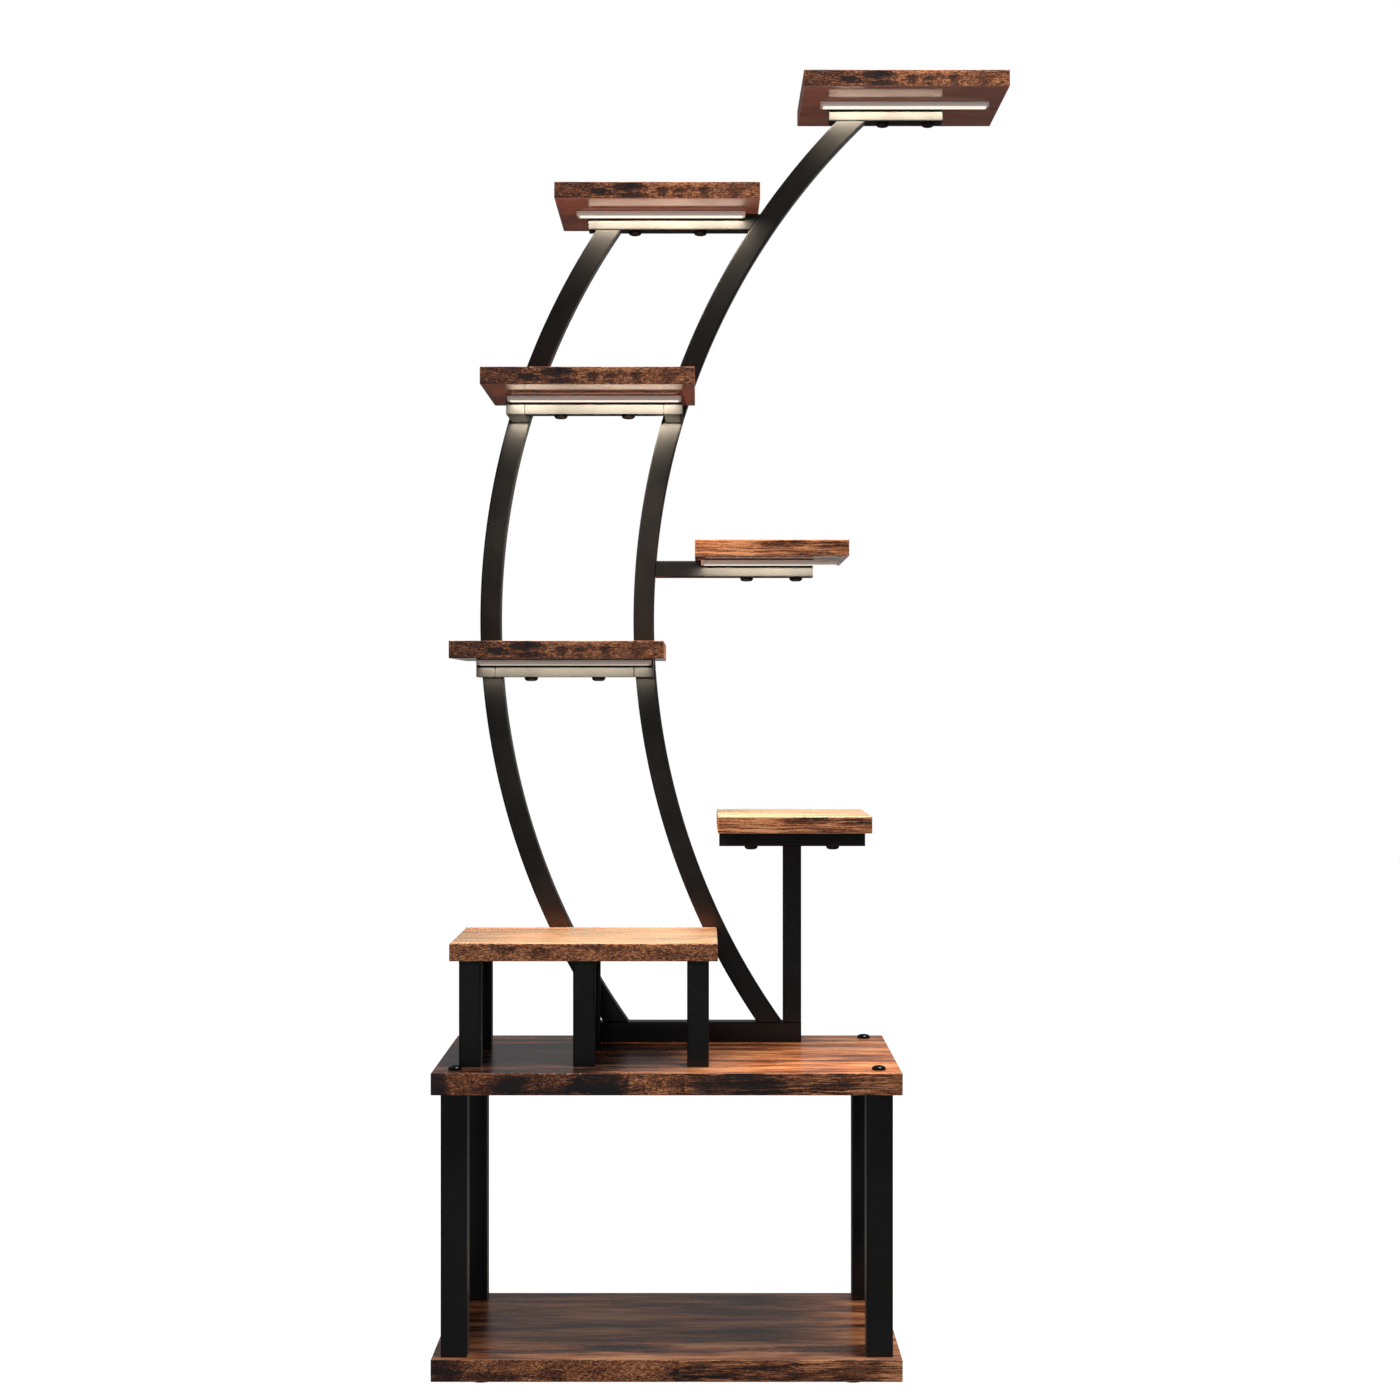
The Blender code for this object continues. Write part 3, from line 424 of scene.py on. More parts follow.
SATIN = (0.20, 0.28)
BAND_DULLER = 0.12
UNDER_GLOSS = 0.05
UNDER_LACQUER = 0.22
LACQUER_TINT = (1.0, 0.64, 0.38, 1)
NO_TINT = (1, 1, 1, 1)
FIBRE_SHARE = 0.7
TOP_RELIEF = 0.08
UNDER_RELIEF = 0.005

drifted = wavy_sheet(tree, noise(tree, sheet, DRIFT_GRAIN, detail=2), DRIFT_HEIGHT)
broad = noise(tree, drifted, BROAD_GRAIN)
fibres = noise(tree, drifted, FIBRE_GRAIN, roughness=0.7)
pores = noise(tree, sheet, PORE_GRAIN, detail=2, roughness=0.6)
top_value = total(
    tree,
    TOP_LEVEL,
    swing(tree, broad, TOP_STREAKS),
    swing(tree, fibres, TOP_FIBRES),
    swing(tree, flecks, TOP_FLECKS),
    times(tree, stain, -STAIN_DARKENS),
)
top_colour = inked(tree, top_value, TOP_INKS)
# Painted glare on the tops of the bench and the lower side shelf
top_colour = mix(tree, times(tree, painted_glare, PAINTED_GLARE_SHARE), top_colour, PAINTED_GLARE_HONEY)
under_value = total(tree, 0.5, swing(tree, broad, UNDER_STREAKS), swing(tree, fibres, UNDER_FIBRES))
# The underside colour includes painted bounce light and sheen
face_colour = mix(tree, under, top_colour, ramp(tree, under_value, UNDER_REDS_AND_PAINTED_BOUNCE))

satin = spread(tree, fibres, 0.3, 0.7, *SATIN)
satin = total(tree, satin, times(tree, band, BAND_DULLER))
gloss = node(tree, "Mix", {0: under, 2: satin, 3: UNDER_GLOSS}, data_type="FLOAT").outputs[0]

fibre_relief = times(tree, fibres, FIBRE_SHARE)
relief = total(tree, fibre_relief, times(tree, pores, 1 - FIBRE_SHARE))
depth = maths(tree, "SUBTRACT", TOP_RELIEF, times(tree, under, TOP_RELIEF - UNDER_RELIEF))
bump = node(tree, "Bump", {"Height": relief, "Strength": depth, "Distance": 0.0003})

skin = {
    "Base Color": mix(tree, band, face_colour, band_colour),
    "Roughness": gloss,
    "Coat Weight": times(tree, under, UNDER_LACQUER),
    "Coat Roughness": 0.03,
    "Specular Tint": mix(tree, under, NO_TINT, LACQUER_TINT),
    "Specular IOR Level": 0.42,
    "Normal": bump.outputs[0],
}
feed(tree, shader, skin)
print("board finish:", len(tree.nodes), "nodes")

# %% [markdown]
# ## Powder-coated steel
#
# The tubes have a black satin powder coat. Baked powder flows into a skin with a faint orange peel, so the
# colour is nearly even, while the gloss wavers and the surface has a very fine, shallow relief. Close to a
# light the dull powder turns cream, and a thin clear coat over it mirrors the boards where they meet. Bolts,
# plastic feet and the near-black strip of painted shade behind each light bar are the same kind of skin,
# each with its own gloss.

# %% Powder coat
CLOUD_GRAIN = (14, 14, 14)
COLOUR_SWAY = 0.25
ROUGHNESS_SWAY = 0.012


def powder_coat(name, colour, roughness, peel=800.0, coat=0.4, coat_roughness=0.15):
    """A dull black skin. Peel says how many bumps a metre holds."""
    colours = [[channel * share for channel in colour] for share in (1 - COLOUR_SWAY, 1 + COLOUR_SWAY)]
    sway = (roughness - ROUGHNESS_SWAY, roughness + ROUGHNESS_SWAY)
    made, tree, shader = wavering_finish(name, CLOUD_GRAIN, colours, sway, reach=0.15)
    grit = noise(tree, object_place(tree), (peel, peel, peel), detail=3, roughness=0.6)
    bump = node(tree, "Bump", {"Height": grit, "Strength": 0.07, "Distance": 0.0001})
    skin = {"Specular IOR Level": 0.06, "Coat Weight": coat, "Coat Roughness": coat_roughness}
    feed(tree, shader, {"Normal": bump.outputs[0], **skin})
    return made


tube_finish = powder_coat("black_tube_finish", (0.0068, 0.0072, 0.0079), 0.42)
bolt_finish = powder_coat("bolt_steel_finish", (0.003, 0.003, 0.003), 0.20, 900.0, 0.5, 0.08)
foot_finish = powder_coat("foot_plastic_finish", (0.008, 0.008, 0.008), 0.60, 700.0, 0.1)
# Painted shade: near black, so that the strip behind each light bar stays a dark line right beside a lamp,
# standing for the shadow gap there
shadow_strip_finish = powder_coat("painted_shadow_strip_finish", (0.0001, 0.0001, 0.0001), 0.80, 700.0, 0.0)
print("dark finishes:", tube_finish.name, bolt_finish.name, foot_finish.name, shadow_strip_finish.name)

# %% [markdown]
# ## Light bars
#
# Each light bar is a thin aluminium channel with a milky cover. Only the cover's lower face shines. An
# attribute called glow, 1 on that face, low on the sides and 0 on the hidden top, drives the strength, so
# the sides look like dim frosted plastic, as they do on the real bar. The strength is low enough to keep the
# warm tint in the picture. The light that falls on the stand comes from lamps, set under the covers further
# on.

# %% Light bar finishes
WARM_WHITE = (1.0, 0.90, 0.79, 1)
MILKY = ((0.22, 0.19, 0.18), (0.28, 0.25, 0.23))
ALUMINIUM = ((0.74, 0.68, 0.62), (0.86, 0.80, 0.73))
CIRCUIT_WHITE = ((0.80, 0.80, 0.74), (0.90, 0.90, 0.86))
GLOW_STRENGTH = 1.0
SIDE_GLOW = 0.20

cover_finish, tree, shader = wavering_finish("light_diffuser_finish", (60, 60, 60), MILKY, (0.35, 0.45))
glow = times(tree, attribute(tree, "glow"), GLOW_STRENGTH)
feed(tree, shader, {"Emission Color": WARM_WHITE, "Emission Strength": glow})

housing_finish, _, shader = wavering_finish("light_housing_finish", (8, 900, 900), ALUMINIUM, (0.30, 0.45))
shader.inputs["Metallic"].default_value = 0.25

circuit_finish, _, _ = wavering_finish(
    "light_circuit_finish", (300, 300, 300), CIRCUIT_WHITE, (0.35, 0.55), detail=2, reach=0.1
)
print("light finishes:", cover_finish.name, housing_finish.name, circuit_finish.name)

# %% [markdown]
# ## From a bmesh to a finished piece
#
# All shapes below are modelled in a bmesh at their real place, so each object can stay at the origin. One
# helper turns the shape into an object, gives it its finish, shades its round parts smooth, and says which
# body it moves with and which plain solid of the frame it stands for. Smooth shading would also bend the
# light on the flat faces beside a round edge. The weighted normal modifier lets the large faces set the
# normals, so flat stays flat and mirrors cleanly. The smaller helpers add and round the boxes that most of
# the stand is made of.

# %% Piece helper
SHARP_ANGLE = math.radians(35)
MERGE = 1e-5


def make_piece(name, shape, finish, nodes, body="root"):
    bmesh.ops.remove_doubles(shape, verts=shape.verts, dist=MERGE)
    bmesh.ops.recalc_face_normals(shape, faces=shape.faces)
    mesh = bpy.data.meshes.new(name)
    shape.to_mesh(mesh)
    shape.free()
    mesh.shade_smooth()
    mesh.set_sharp_from_angle(angle=SHARP_ANGLE)
    mesh.materials.append(finish)
    piece = add_object(name, mesh)
    flat_stays_flat = piece.modifiers.new("flat_stays_flat", "WEIGHTED_NORMAL")
    flat_stays_flat.keep_sharp = True
    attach(piece, body)
    if nodes:
        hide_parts(*nodes)
    return piece


def add_box(shape, low, high):
    """Adds a box between two corners and returns its vertices."""
    made = bmesh.ops.create_cube(shape, size=1)["verts"]
    bmesh.ops.scale(shape, verts=made, vec=high - low)
    bmesh.ops.translate(shape, verts=made, vec=(low + high) / 2)
    return made


def edges_of(verts):
    return list({edge for vert in verts for edge in vert.link_edges})


def round_off(shape, geom, width, segments, affect="EDGES"):
    """Rounds edges, or the corners of a flat outline if affect is VERTICES."""
    options = {"profile": 0.5, "clamp_overlap": True, "material": -1}
    bmesh.ops.bevel(shape, geom=geom, offset=width, segments=segments, affect=affect, **options)


def upright_axis(low, high, level):
    """The point at some level on the upright middle line of a box."""
    middle = (low + high) / 2
    return Vector((middle.x, middle.y, level))


print("piece helpers ready")

# %% [markdown]
# ## Boards
#
# A real board is sawn square and its printed skin is folded over the edges, which leaves them slightly
# round. A box with bevelled edges gives that shape. Where the band round the edge is joined, the box is cut
# by a plane, so that the two halves of the band can show different stretches of the print.

# %% Boards
BOARD_ROUND = 0.0011
ROUND_SEGMENTS = 3
CORNER_ANGLE = 1.0
# Where the tops, the undersides and the side bands start on the sheet, in metres
SHEET_STARTS = {"front band": 0.0, "top": 3.0, "under": 6.0, "side band": 9.0}


def shown_part(face):
    """Which part of the print a face shows."""
    across, deep, up = (abs(part) for part in face.normal)
    if up > max(across, deep):
        return "top" if face.normal.z > 0 else "under"
    return "front band" if deep >= across else "side band"


def sheet_place(point, low, part, shift):
    """Where a point of a board lies on the printed sheet, in metres."""
    from_corner = point - low
    start = shift + SHEET_STARTS[part]
    if part == "front band":
        return from_corner.x + start, from_corner.z
    if part == "side band":
        return from_corner.y + start, from_corner.z
    return from_corner.x + start, from_corner.y + shift


def board(node_name, shift, streaky_from, painted_glare=0.0):
    """A board. Shift picks its stretch of the sheet. Right of streaky_from its band is streaky."""
    low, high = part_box(node_name)
    shape = bmesh.new()
    add_box(shape, low, high)
    if low.x < streaky_from < high.x:
        everything = shape.verts[:] + shape.edges[:] + shape.faces[:]
        bmesh.ops.bisect_plane(shape, geom=everything, plane_co=(streaky_from, 0, 0), plane_no=(1, 0, 0))
    corners = [edge for edge in shape.edges if edge.calc_face_angle(0) > CORNER_ANGLE]
    round_off(shape, corners, BOARD_ROUND, ROUND_SEGMENTS)
    shape.normal_update()
    sheet_map = shape.loops.layers.uv.new("sheet")
    layers = {name: shape.faces.layers.float.new(name) for name in ("band", "streaky", "under", "painted_glare")}
    for face in shape.faces:
        part = shown_part(face)
        face[layers["band"]] = float(part.endswith("band"))
        face[layers["under"]] = float(part == "under")
        # How much painted glare the top of this board carries
        face[layers["painted_glare"]] = painted_glare
        face[layers["streaky"]] = float(face.calc_center_median().x > streaky_from)
        for loop in face.loops:
            loop[sheet_map].uv = sheet_place(loop.vert.co, low, part, shift)
    return make_piece(node_name + "_board", shape, board_finish, [node_name])


BAND_JOIN_MIDDLE = -0.050
BAND_JOIN_BOTTOM = -0.056
FAR_LEFT = cad_low.x - 1
FAR_RIGHT = cad_high.x + 1
boards = [
    board("bottom_board", 0.90, BAND_JOIN_BOTTOM),
    board("middle_board", 1.60, BAND_JOIN_MIDDLE),
    # The bench and the lower side shelf get painted glare on their tops
    board("bench_board", 2.30, FAR_RIGHT, painted_glare=0.85),
    *(board("shelf_" + level, 0.0, FAR_RIGHT) for level in ("lower", "middle", "upper", "top")),
    board("shelf_side_lower", 0.45, FAR_LEFT, painted_glare=1.0),
    board("shelf_side_upper", 0.45, FAR_LEFT),
]
print("boards:", len(boards))

# %% [markdown]
# ## Straight tubes
#
# Square tube is rolled from strip, so its four long corners are round while its ends are sawn. Only the long
# edges of a box are bevelled. An end that shows has a plug: its face is inset by the wall and pushed in a
# little, which leaves the fine line that one sees round a real end cap.

# %% Straight tubes
TUBE_ROUND = 0.0022
TUBE_SEGMENTS = 4
TUBE_WALL = 0.0012
PLUG_DEPTH = 0.0005
SQUARE_ON = 0.9


def add_tube(shape, low, high, axis, plugs=()):
    """Adds a tube along an axis. Plugs names the ends that show, as -1 and 1."""
    before = set(shape.faces)
    made = add_box(shape, low, high)
    along = [edge for edge in edges_of(made) if abs(edge.verts[0].co[axis] - edge.verts[1].co[axis]) > MERGE]
    round_off(shape, along, TUBE_ROUND, TUBE_SEGMENTS)
    shape.normal_update()
    for face in [face for face in shape.faces if face not in before]:
        side = round(face.normal[axis])
        if abs(face.normal[axis]) < SQUARE_ON or side not in plugs:
            continue
        for rim in (TUBE_WALL, PLUG_DEPTH / 2):
            bmesh.ops.inset_region(shape, faces=[face], thickness=rim, use_even_offset=True)
        inward = Vector()
        inward[axis] = -side * PLUG_DEPTH
        bmesh.ops.translate(shape, verts=face.verts, vec=inward)


for node_name in ("foot_bar", "crossbar_top"):
    low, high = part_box(node_name)
    shape = bmesh.new()
    add_tube(shape, low, high, 0, plugs=(-1, 1))
    piece = make_piece(node_name + "_tube", shape, tube_finish, [node_name])
    print(piece.name, len(piece.data.polygons), "faces")

# %% [markdown]
# ## The bars that meet an arc
#
# The bar under the upper shelf and the arm under the side shelf are sawn at a slant where they meet the
# bent tube. They start as longer tubes, and a plane that touches the arc cuts them off.

# %% Slanted bars
ARC_CENTRE_Z = 0.8683
LEFT_CENTRE_X = 0.5715
RIGHT_CENTRE_X = 0.7585
OUTER_RADIUS = 0.8725
INNER_RADIUS = 0.8475
SEAT_GAP = 0.0003


def arc_centre(centre_x, y=0.0):
    return Vector((centre_x, y, ARC_CENTRE_Z))


def arc_outward(angle):
    """Which way the outer side of an arc faces, at an angle above the level of its centre."""
    return Vector((-math.cos(angle), 0, math.sin(angle)))


def angle_at(level, radius):
    return math.asin((level - ARC_CENTRE_Z) / radius)


def cut(shape, at, away):
    """Cuts off what lies on the side that away points to, and closes the hole."""
    everything = shape.verts[:] + shape.edges[:] + shape.faces[:]
    made = bmesh.ops.bisect_plane(shape, geom=everything, plane_co=at, plane_no=away, clear_outer=True)
    rim = [item for item in made["geom_cut"] if isinstance(item, bmesh.types.BMEdge)]
    bmesh.ops.holes_fill(shape, edges=rim, sides=0)


def slanted_bar(node_name, centre_x, radius, cut_side, plug_side):
    """A bar that stops at an arc. Cut_side is 1 where its right end meets it, and -1 for its left end."""
    low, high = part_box(node_name)
    outward = arc_outward(angle_at((low.z + high.z) / 2, radius))
    shape = bmesh.new()
    add_tube(shape, low, high, 0, plugs=(plug_side,))
    cut(shape, arc_centre(centre_x) + outward * radius, -outward * cut_side)
    return make_piece(node_name + "_tube", shape, tube_finish, [node_name])


slanted_bar("crossbar_upper", RIGHT_CENTRE_X, OUTER_RADIUS + SEAT_GAP, 1, -1)
slanted_bar("side_arm", RIGHT_CENTRE_X, INNER_RADIUS - SEAT_GAP, -1, 1)
print("slanted bars cut")

# %% [markdown]
# ## The half moon
#
# The two arcs are one bent square tube each, in three lengths with a sleeve joint behind a bracket. Bent tube
# keeps its section all along the bend, which is what a spin does: a rounded square, turned about the circle's
# centre in small steps. The two ends that stand on or under a bar are cut level.

# %% Bent tubes
TURN_STEP = math.radians(0.75)
END_MARGIN = math.radians(1.5)
JOINT_ROUND = 0.0005
BAND_RADIUS = (OUTER_RADIUS + INNER_RADIUS) / 2


def rounded_square(shape, low, high):
    """Adds a rounded square loop of edges in the plane z = low.z."""
    made = bmesh.ops.create_grid(shape, x_segments=1, y_segments=1, size=0.5)["verts"]
    bmesh.ops.scale(shape, verts=made, vec=(high.x - low.x, high.y - low.y, 1))
    bmesh.ops.translate(shape, verts=made, vec=(low + high) / 2)
    round_off(shape, made, TUBE_ROUND, TUBE_SEGMENTS, affect="VERTICES")
    bmesh.ops.delete(shape, geom=shape.faces[:], context="FACES_ONLY")
    return shape.verts[:] + shape.edges[:]


def bend(shape, centre_x, y_low, y_high, start, end):
    """Spins a rounded square about an arc's centre, from one angle to another, and closes both ends."""
    centre = arc_centre(centre_x)
    low = arc_centre(centre_x - OUTER_RADIUS, y_low)
    high = arc_centre(centre_x - INNER_RADIUS, y_high)
    loop = rounded_square(shape, low, high)
    turn = Matrix.Rotation(start, 3, "Y")
    bmesh.ops.rotate(shape, verts=shape.verts, cent=centre, matrix=turn)
    steps = math.ceil((end - start) / TURN_STEP)
    bmesh.ops.spin(shape, geom=loop, cent=centre, axis=(0, 1, 0), angle=end - start, steps=steps)
    rims = [edge for edge in shape.edges if edge.is_boundary]
    bmesh.ops.holes_fill(shape, edges=rims, sides=0)


def joint_angle(bracket):
    low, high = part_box(bracket)
    return angle_at((low.z + high.z) / 2, BAND_RADIUS)


HALF_JOINT = SEAT_GAP / 2 / BAND_RADIUS
LOWER_JOINT = joint_angle("bracket_lower")
UPPER_JOINT = joint_angle("bracket_middle")


def soften_ends(shape, angles, centre_x):
    """Takes the sharp edge off the ends at some angles, so that a joint shows as a fine groove."""
    for angle in angles:
        outward = arc_outward(angle)
        along = Vector((outward.z, 0, -outward.x))
        centre = arc_centre(centre_x)
        rim = [
            edge
            for edge in shape.edges
            if all(abs((vert.co - centre).dot(along)) < MERGE for vert in edge.verts)
        ]
        round_off(shape, rim, JOINT_ROUND, 1)


def arc_section(side, part, centre_x):
    node_name = "arc_" + side + "_" + part
    low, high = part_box(node_name)
    shape = bmesh.new()
    start = LOWER_JOINT + HALF_JOINT
    end = UPPER_JOINT - HALF_JOINT
    if part == "lower":
        start, end = angle_at(low.z, INNER_RADIUS) - END_MARGIN, LOWER_JOINT - HALF_JOINT
    if part == "upper":
        start, end = UPPER_JOINT + HALF_JOINT, angle_at(high.z, INNER_RADIUS) + END_MARGIN
    bend(shape, centre_x, low.y, high.y, start, end)
    if part == "lower":
        cut(shape, low, Vector((0, 0, -1)))
    if part == "upper":
        cut(shape, high, Vector((0, 0, 1)))
    soften_ends(shape, (start, end), centre_x)
    return make_piece(node_name + "_bent_tube", shape, tube_finish, [node_name])


ARCS = {"left": LEFT_CENTRE_X, "right": RIGHT_CENTRE_X}
for side, centre_x in ARCS.items():
    for part in ("lower", "middle", "upper"):
        section = arc_section(side, part, centre_x)
        print(section.name, len(section.data.polygons), "faces")

# %% [markdown]
# ## Brackets and the side stand
#
# The lower and the middle shelf stand in front of the half moon on brackets. Each bracket is a short bar
# between two arms, and where they butt the weld is ground flat, so only a fine line is left. Three bars that
# all but touch, with their edges a little round, show the same line. The side stand is a post under a bar.

# %% Brackets and side stand
ARM_WIDTH = 0.022
BRACKET_BAR_DEPTH = 0.020
STAND_BAR_HEIGHT = 0.020
POST_WIDTH = 0.022
BUTT_ROUND = 0.0008
WELD_LINE = 0.0004


def add_butted_box(shape, low, high):
    """Adds a box with all its edges a little round, for a bar that is butted against another."""
    made = add_box(shape, low, high)
    round_off(shape, edges_of(made), BUTT_ROUND, 2)


def bracket(node_name):
    low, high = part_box(node_name)
    shape = bmesh.new()
    add_butted_box(shape, low, Vector((low.x + ARM_WIDTH, high.y, high.z)))
    add_butted_box(shape, Vector((high.x - ARM_WIDTH, low.y, low.z)), high)
    bar_low = Vector((low.x + ARM_WIDTH + WELD_LINE, low.y, low.z))
    bar_high = Vector((high.x - ARM_WIDTH - WELD_LINE, low.y + BRACKET_BAR_DEPTH, high.z))
    add_butted_box(shape, bar_low, bar_high)
    return make_piece(node_name + "_tubes", shape, tube_finish, [node_name])


def side_stand():
    low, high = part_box("side_stand")
    middle_x = (low.x + high.x) / 2
    neck = high.z - STAND_BAR_HEIGHT
    shape = bmesh.new()
    add_tube(shape, Vector((low.x, low.y, neck)), high, 0, plugs=(-1, 1))
    post_low = Vector((middle_x - POST_WIDTH / 2, low.y, low.z))
    post_high = Vector((middle_x + POST_WIDTH / 2, high.y, neck))
    add_tube(shape, post_low, post_high, 2)
    return make_piece("side_stand_tubes", shape, tube_finish, ["side_stand"])


bracket("bracket_lower")
bracket("bracket_middle")
side_stand()
print("brackets and side stand done")

# %% [markdown]
# ## Legs and bench frames
#
# The legs are plain tubes between the two boards. A bench frame is a pair of posts with a flat plate welded
# across their heads, which takes the screws of the bench board. The plate is so thin that it all but vanishes
# under the board.

# %% Legs and bench frames
BENCH_TUBE = 0.025
BENCH_PLATE = 0.004
bottom_board_low, bottom_board_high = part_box("bottom_board")
middle_board_low, middle_board_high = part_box("middle_board")


def bench_frame(place_name):
    node_name = "bench_frame_" + place_name
    low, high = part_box(node_name)
    under_plate = high.z - BENCH_PLATE
    shape = bmesh.new()
    add_tube(shape, low, Vector((high.x, low.y + BENCH_TUBE, under_plate)), 2)
    add_tube(shape, Vector((low.x, high.y - BENCH_TUBE, low.z)), Vector((high.x, high.y, under_plate)), 2)
    add_butted_box(shape, Vector((low.x, low.y, under_plate)), high)
    return make_piece(node_name + "_tubes", shape, tube_finish, [node_name])


CORNERS = ("front_left", "front_right", "back_left", "back_right")
for corner in CORNERS:
    low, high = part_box("leg_" + corner)
    tube_low = Vector((low.x, low.y, bottom_board_high.z + SEAT_GAP))
    tube_high = Vector((high.x, high.y, middle_board_low.z - SEAT_GAP))
    shape = bmesh.new()
    add_tube(shape, tube_low, tube_high, 2)
    make_piece("leg_" + corner + "_tube", shape, tube_finish, ["leg_" + corner])
for place_name in ("left", "middle", "right"):
    bench_frame(place_name)
print("legs and bench frames done")

# %% [markdown]
# ## Button-head bolts
#
# A button-head bolt is a low dome with a hexagonal socket. The whole bolt is one profile, turned a full
# circle. The two rings of points round the socket are then pushed out from a circle to a hexagon, which is
# possible because the number of steps is a multiple of six.

# %% Bolts
BOLT_HEAD = 0.008
BOLT_HEIGHT = 0.0045
BOLT_SHANK = 0.003
BOLT_RIM = 0.0012
SOCKET = 0.0031
SOCKET_DEPTH = 0.0023
SOCKET_LEDGE = 0.0004
DOME_STEPS = 6
TURN_STEPS = 24
HEXAGON = math.tau / 6


def turn_profile(shape, profile, at, flipped=False, steps=TURN_STEPS):
    """Spins a profile of radius and height about an upright axis, and returns the new vertices."""
    sign = -1 if flipped else 1
    before = set(shape.verts)
    points = [shape.verts.new((at.x + radius, at.y, at.z + sign * height)) for radius, height in profile]
    edges = [shape.edges.new(pair) for pair in zip(points, points[1:])]
    full_turn = {"axis": (0, 0, 1), "angle": math.tau, "use_merge": True}
    bmesh.ops.spin(shape, geom=points + edges, cent=at, steps=steps, **full_turn)
    made = [vert for vert in shape.verts if vert not in before]
    bmesh.ops.remove_doubles(shape, verts=made, dist=MERGE)
    return [vert for vert in shape.verts if vert not in before]


def quarter_turn(steps):
    """The angles from 0 to a right angle that draw a rounded corner of a profile."""
    return [math.pi / 2 * step / steps for step in range(steps + 1)]


def make_hexagonal(verts, at):
    """Moves points on a circle out to a hexagon round the same axis."""
    for vert in verts:
        off = vert.co - at
        angle = math.atan2(off.y, off.x) % HEXAGON - HEXAGON / 2
        wider = 1 / math.cos(angle)
        vert.co.x = at.x + off.x * wider
        vert.co.y = at.y + off.y * wider


def bolt_profile(shank_length):
    """From the shank's tip, round the head, into the socket. Zero is the seat under the head."""
    points = [(0, shank_length), (BOLT_SHANK, shank_length), (BOLT_SHANK, 0), (BOLT_HEAD, 0)]
    flat = SOCKET + SOCKET_LEDGE
    for angle in quarter_turn(DOME_STEPS):
        radius = flat + (BOLT_HEAD - flat) * math.cos(angle)
        points.append((radius, -BOLT_RIM - (BOLT_HEIGHT - BOLT_RIM) * math.sin(angle)))
    socket_floor = SOCKET_DEPTH - BOLT_HEIGHT
    return points + [(SOCKET, -BOLT_HEIGHT), (SOCKET, socket_floor), (0, socket_floor)]


def add_bolt(shape, at, shank_length, head_up=False):
    """Adds a bolt whose seat is at a point. Its head hangs below, or stands above if head_up."""
    made = turn_profile(shape, bolt_profile(shank_length), at, flipped=head_up)
    socket_rings = [
        vert
        for vert in made
        if abs((vert.co.xy - at.xy).length - SOCKET) < MERGE and abs(vert.co.z - at.z) > BOLT_RIM
    ]
    make_hexagonal(socket_rings, at)


bolt_nodes = sorted(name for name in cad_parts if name.startswith("shelf_bolt_"))
for name in bolt_nodes:
    low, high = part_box(name)
    seat = upright_axis(low, high, low.z + BOLT_HEIGHT)
    shape = bmesh.new()
    add_bolt(shape, seat, high.z - seat.z)
    make_piece(name + "_button_head", shape, bolt_finish, [name])
print("shelf bolts:", len(bolt_nodes))

# %% [markdown]
# ## Bolts of the legs
#
# Each leg is held by one bolt from above, through the middle board, and one from below, through the bottom
# board. The legs' solids hold these bolts, so here they are extra pieces with a real head.

# %% Leg bolts
LEG_BOLT_SHANK = 0.028
for corner in CORNERS:
    low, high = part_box("leg_" + corner)
    for level, head_up, name in (
        (middle_board_high.z + SEAT_GAP, True, "top_bolt_" + corner),
        (bottom_board_low.z - SEAT_GAP, False, "bottom_bolt_" + corner),
    ):
        shape = bmesh.new()
        add_bolt(shape, upright_axis(low, high, level), LEG_BOLT_SHANK, head_up)
        make_piece(name, shape, bolt_finish, ["leg_" + corner])
print("leg bolts:", 2 * len(CORNERS))

# %% [markdown]
# ## Levelling feet
#
# A levelling foot is a round pad on a threaded stud, with a hexagon to turn it by. The thread shows once the
# foot is screwed out, so the profile has a zigzag along the stud: rings look like a thread at this size.

# %% Levelling feet
PAD_ROUND = 0.0012
PAD_STEPS = 3
FOOT_HEX = 0.0082
FOOT_HEX_HEIGHT = 0.0018
THREAD_PITCH = 0.00125
THREAD_DEPTH = 0.0004
STUD_RADIUS = 0.004
FOOT_STEPS = 36


def foot_profile(pad_radius, pad_top, nut_top, stud_top):
    points = [(0, stud_top), (STUD_RADIUS - THREAD_DEPTH, stud_top)]
    turns = int((stud_top - nut_top) / THREAD_PITCH)
    for index in range(turns):
        level = stud_top - (index + 0.5) * THREAD_PITCH
        points.append((STUD_RADIUS, level))
        points.append((STUD_RADIUS - THREAD_DEPTH, level - THREAD_PITCH / 2))
    points += [(STUD_RADIUS - THREAD_DEPTH, nut_top), (FOOT_HEX, nut_top), (FOOT_HEX, pad_top)]
    for angle in quarter_turn(PAD_STEPS):
        inset = PAD_ROUND * (1 - math.sin(angle))
        points.append((pad_radius - inset, pad_top - PAD_ROUND * (1 - math.cos(angle))))
    points += [(pad_radius, PAD_ROUND), (pad_radius - PAD_ROUND, 0), (0, 0)]
    return points


for corner in CORNERS:
    name = "levelling_foot_" + corner
    low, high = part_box(name)
    centre = upright_axis(low, high, low.z)
    nut_top = bottom_board_low.z - SEAT_GAP - low.z
    profile = foot_profile((high.x - low.x) / 2, nut_top - FOOT_HEX_HEIGHT, nut_top, high.z - low.z)
    shape = bmesh.new()
    made = turn_profile(shape, profile, centre, steps=FOOT_STEPS)
    nut_ring = [vert for vert in made if abs((vert.co.xy - centre.xy).length - FOOT_HEX) < MERGE]
    make_hexagonal(nut_ring, centre)
    make_piece(name + "_pad", shape, foot_finish, [name], body="foot_" + corner)
print("levelling feet:", len(CORNERS))
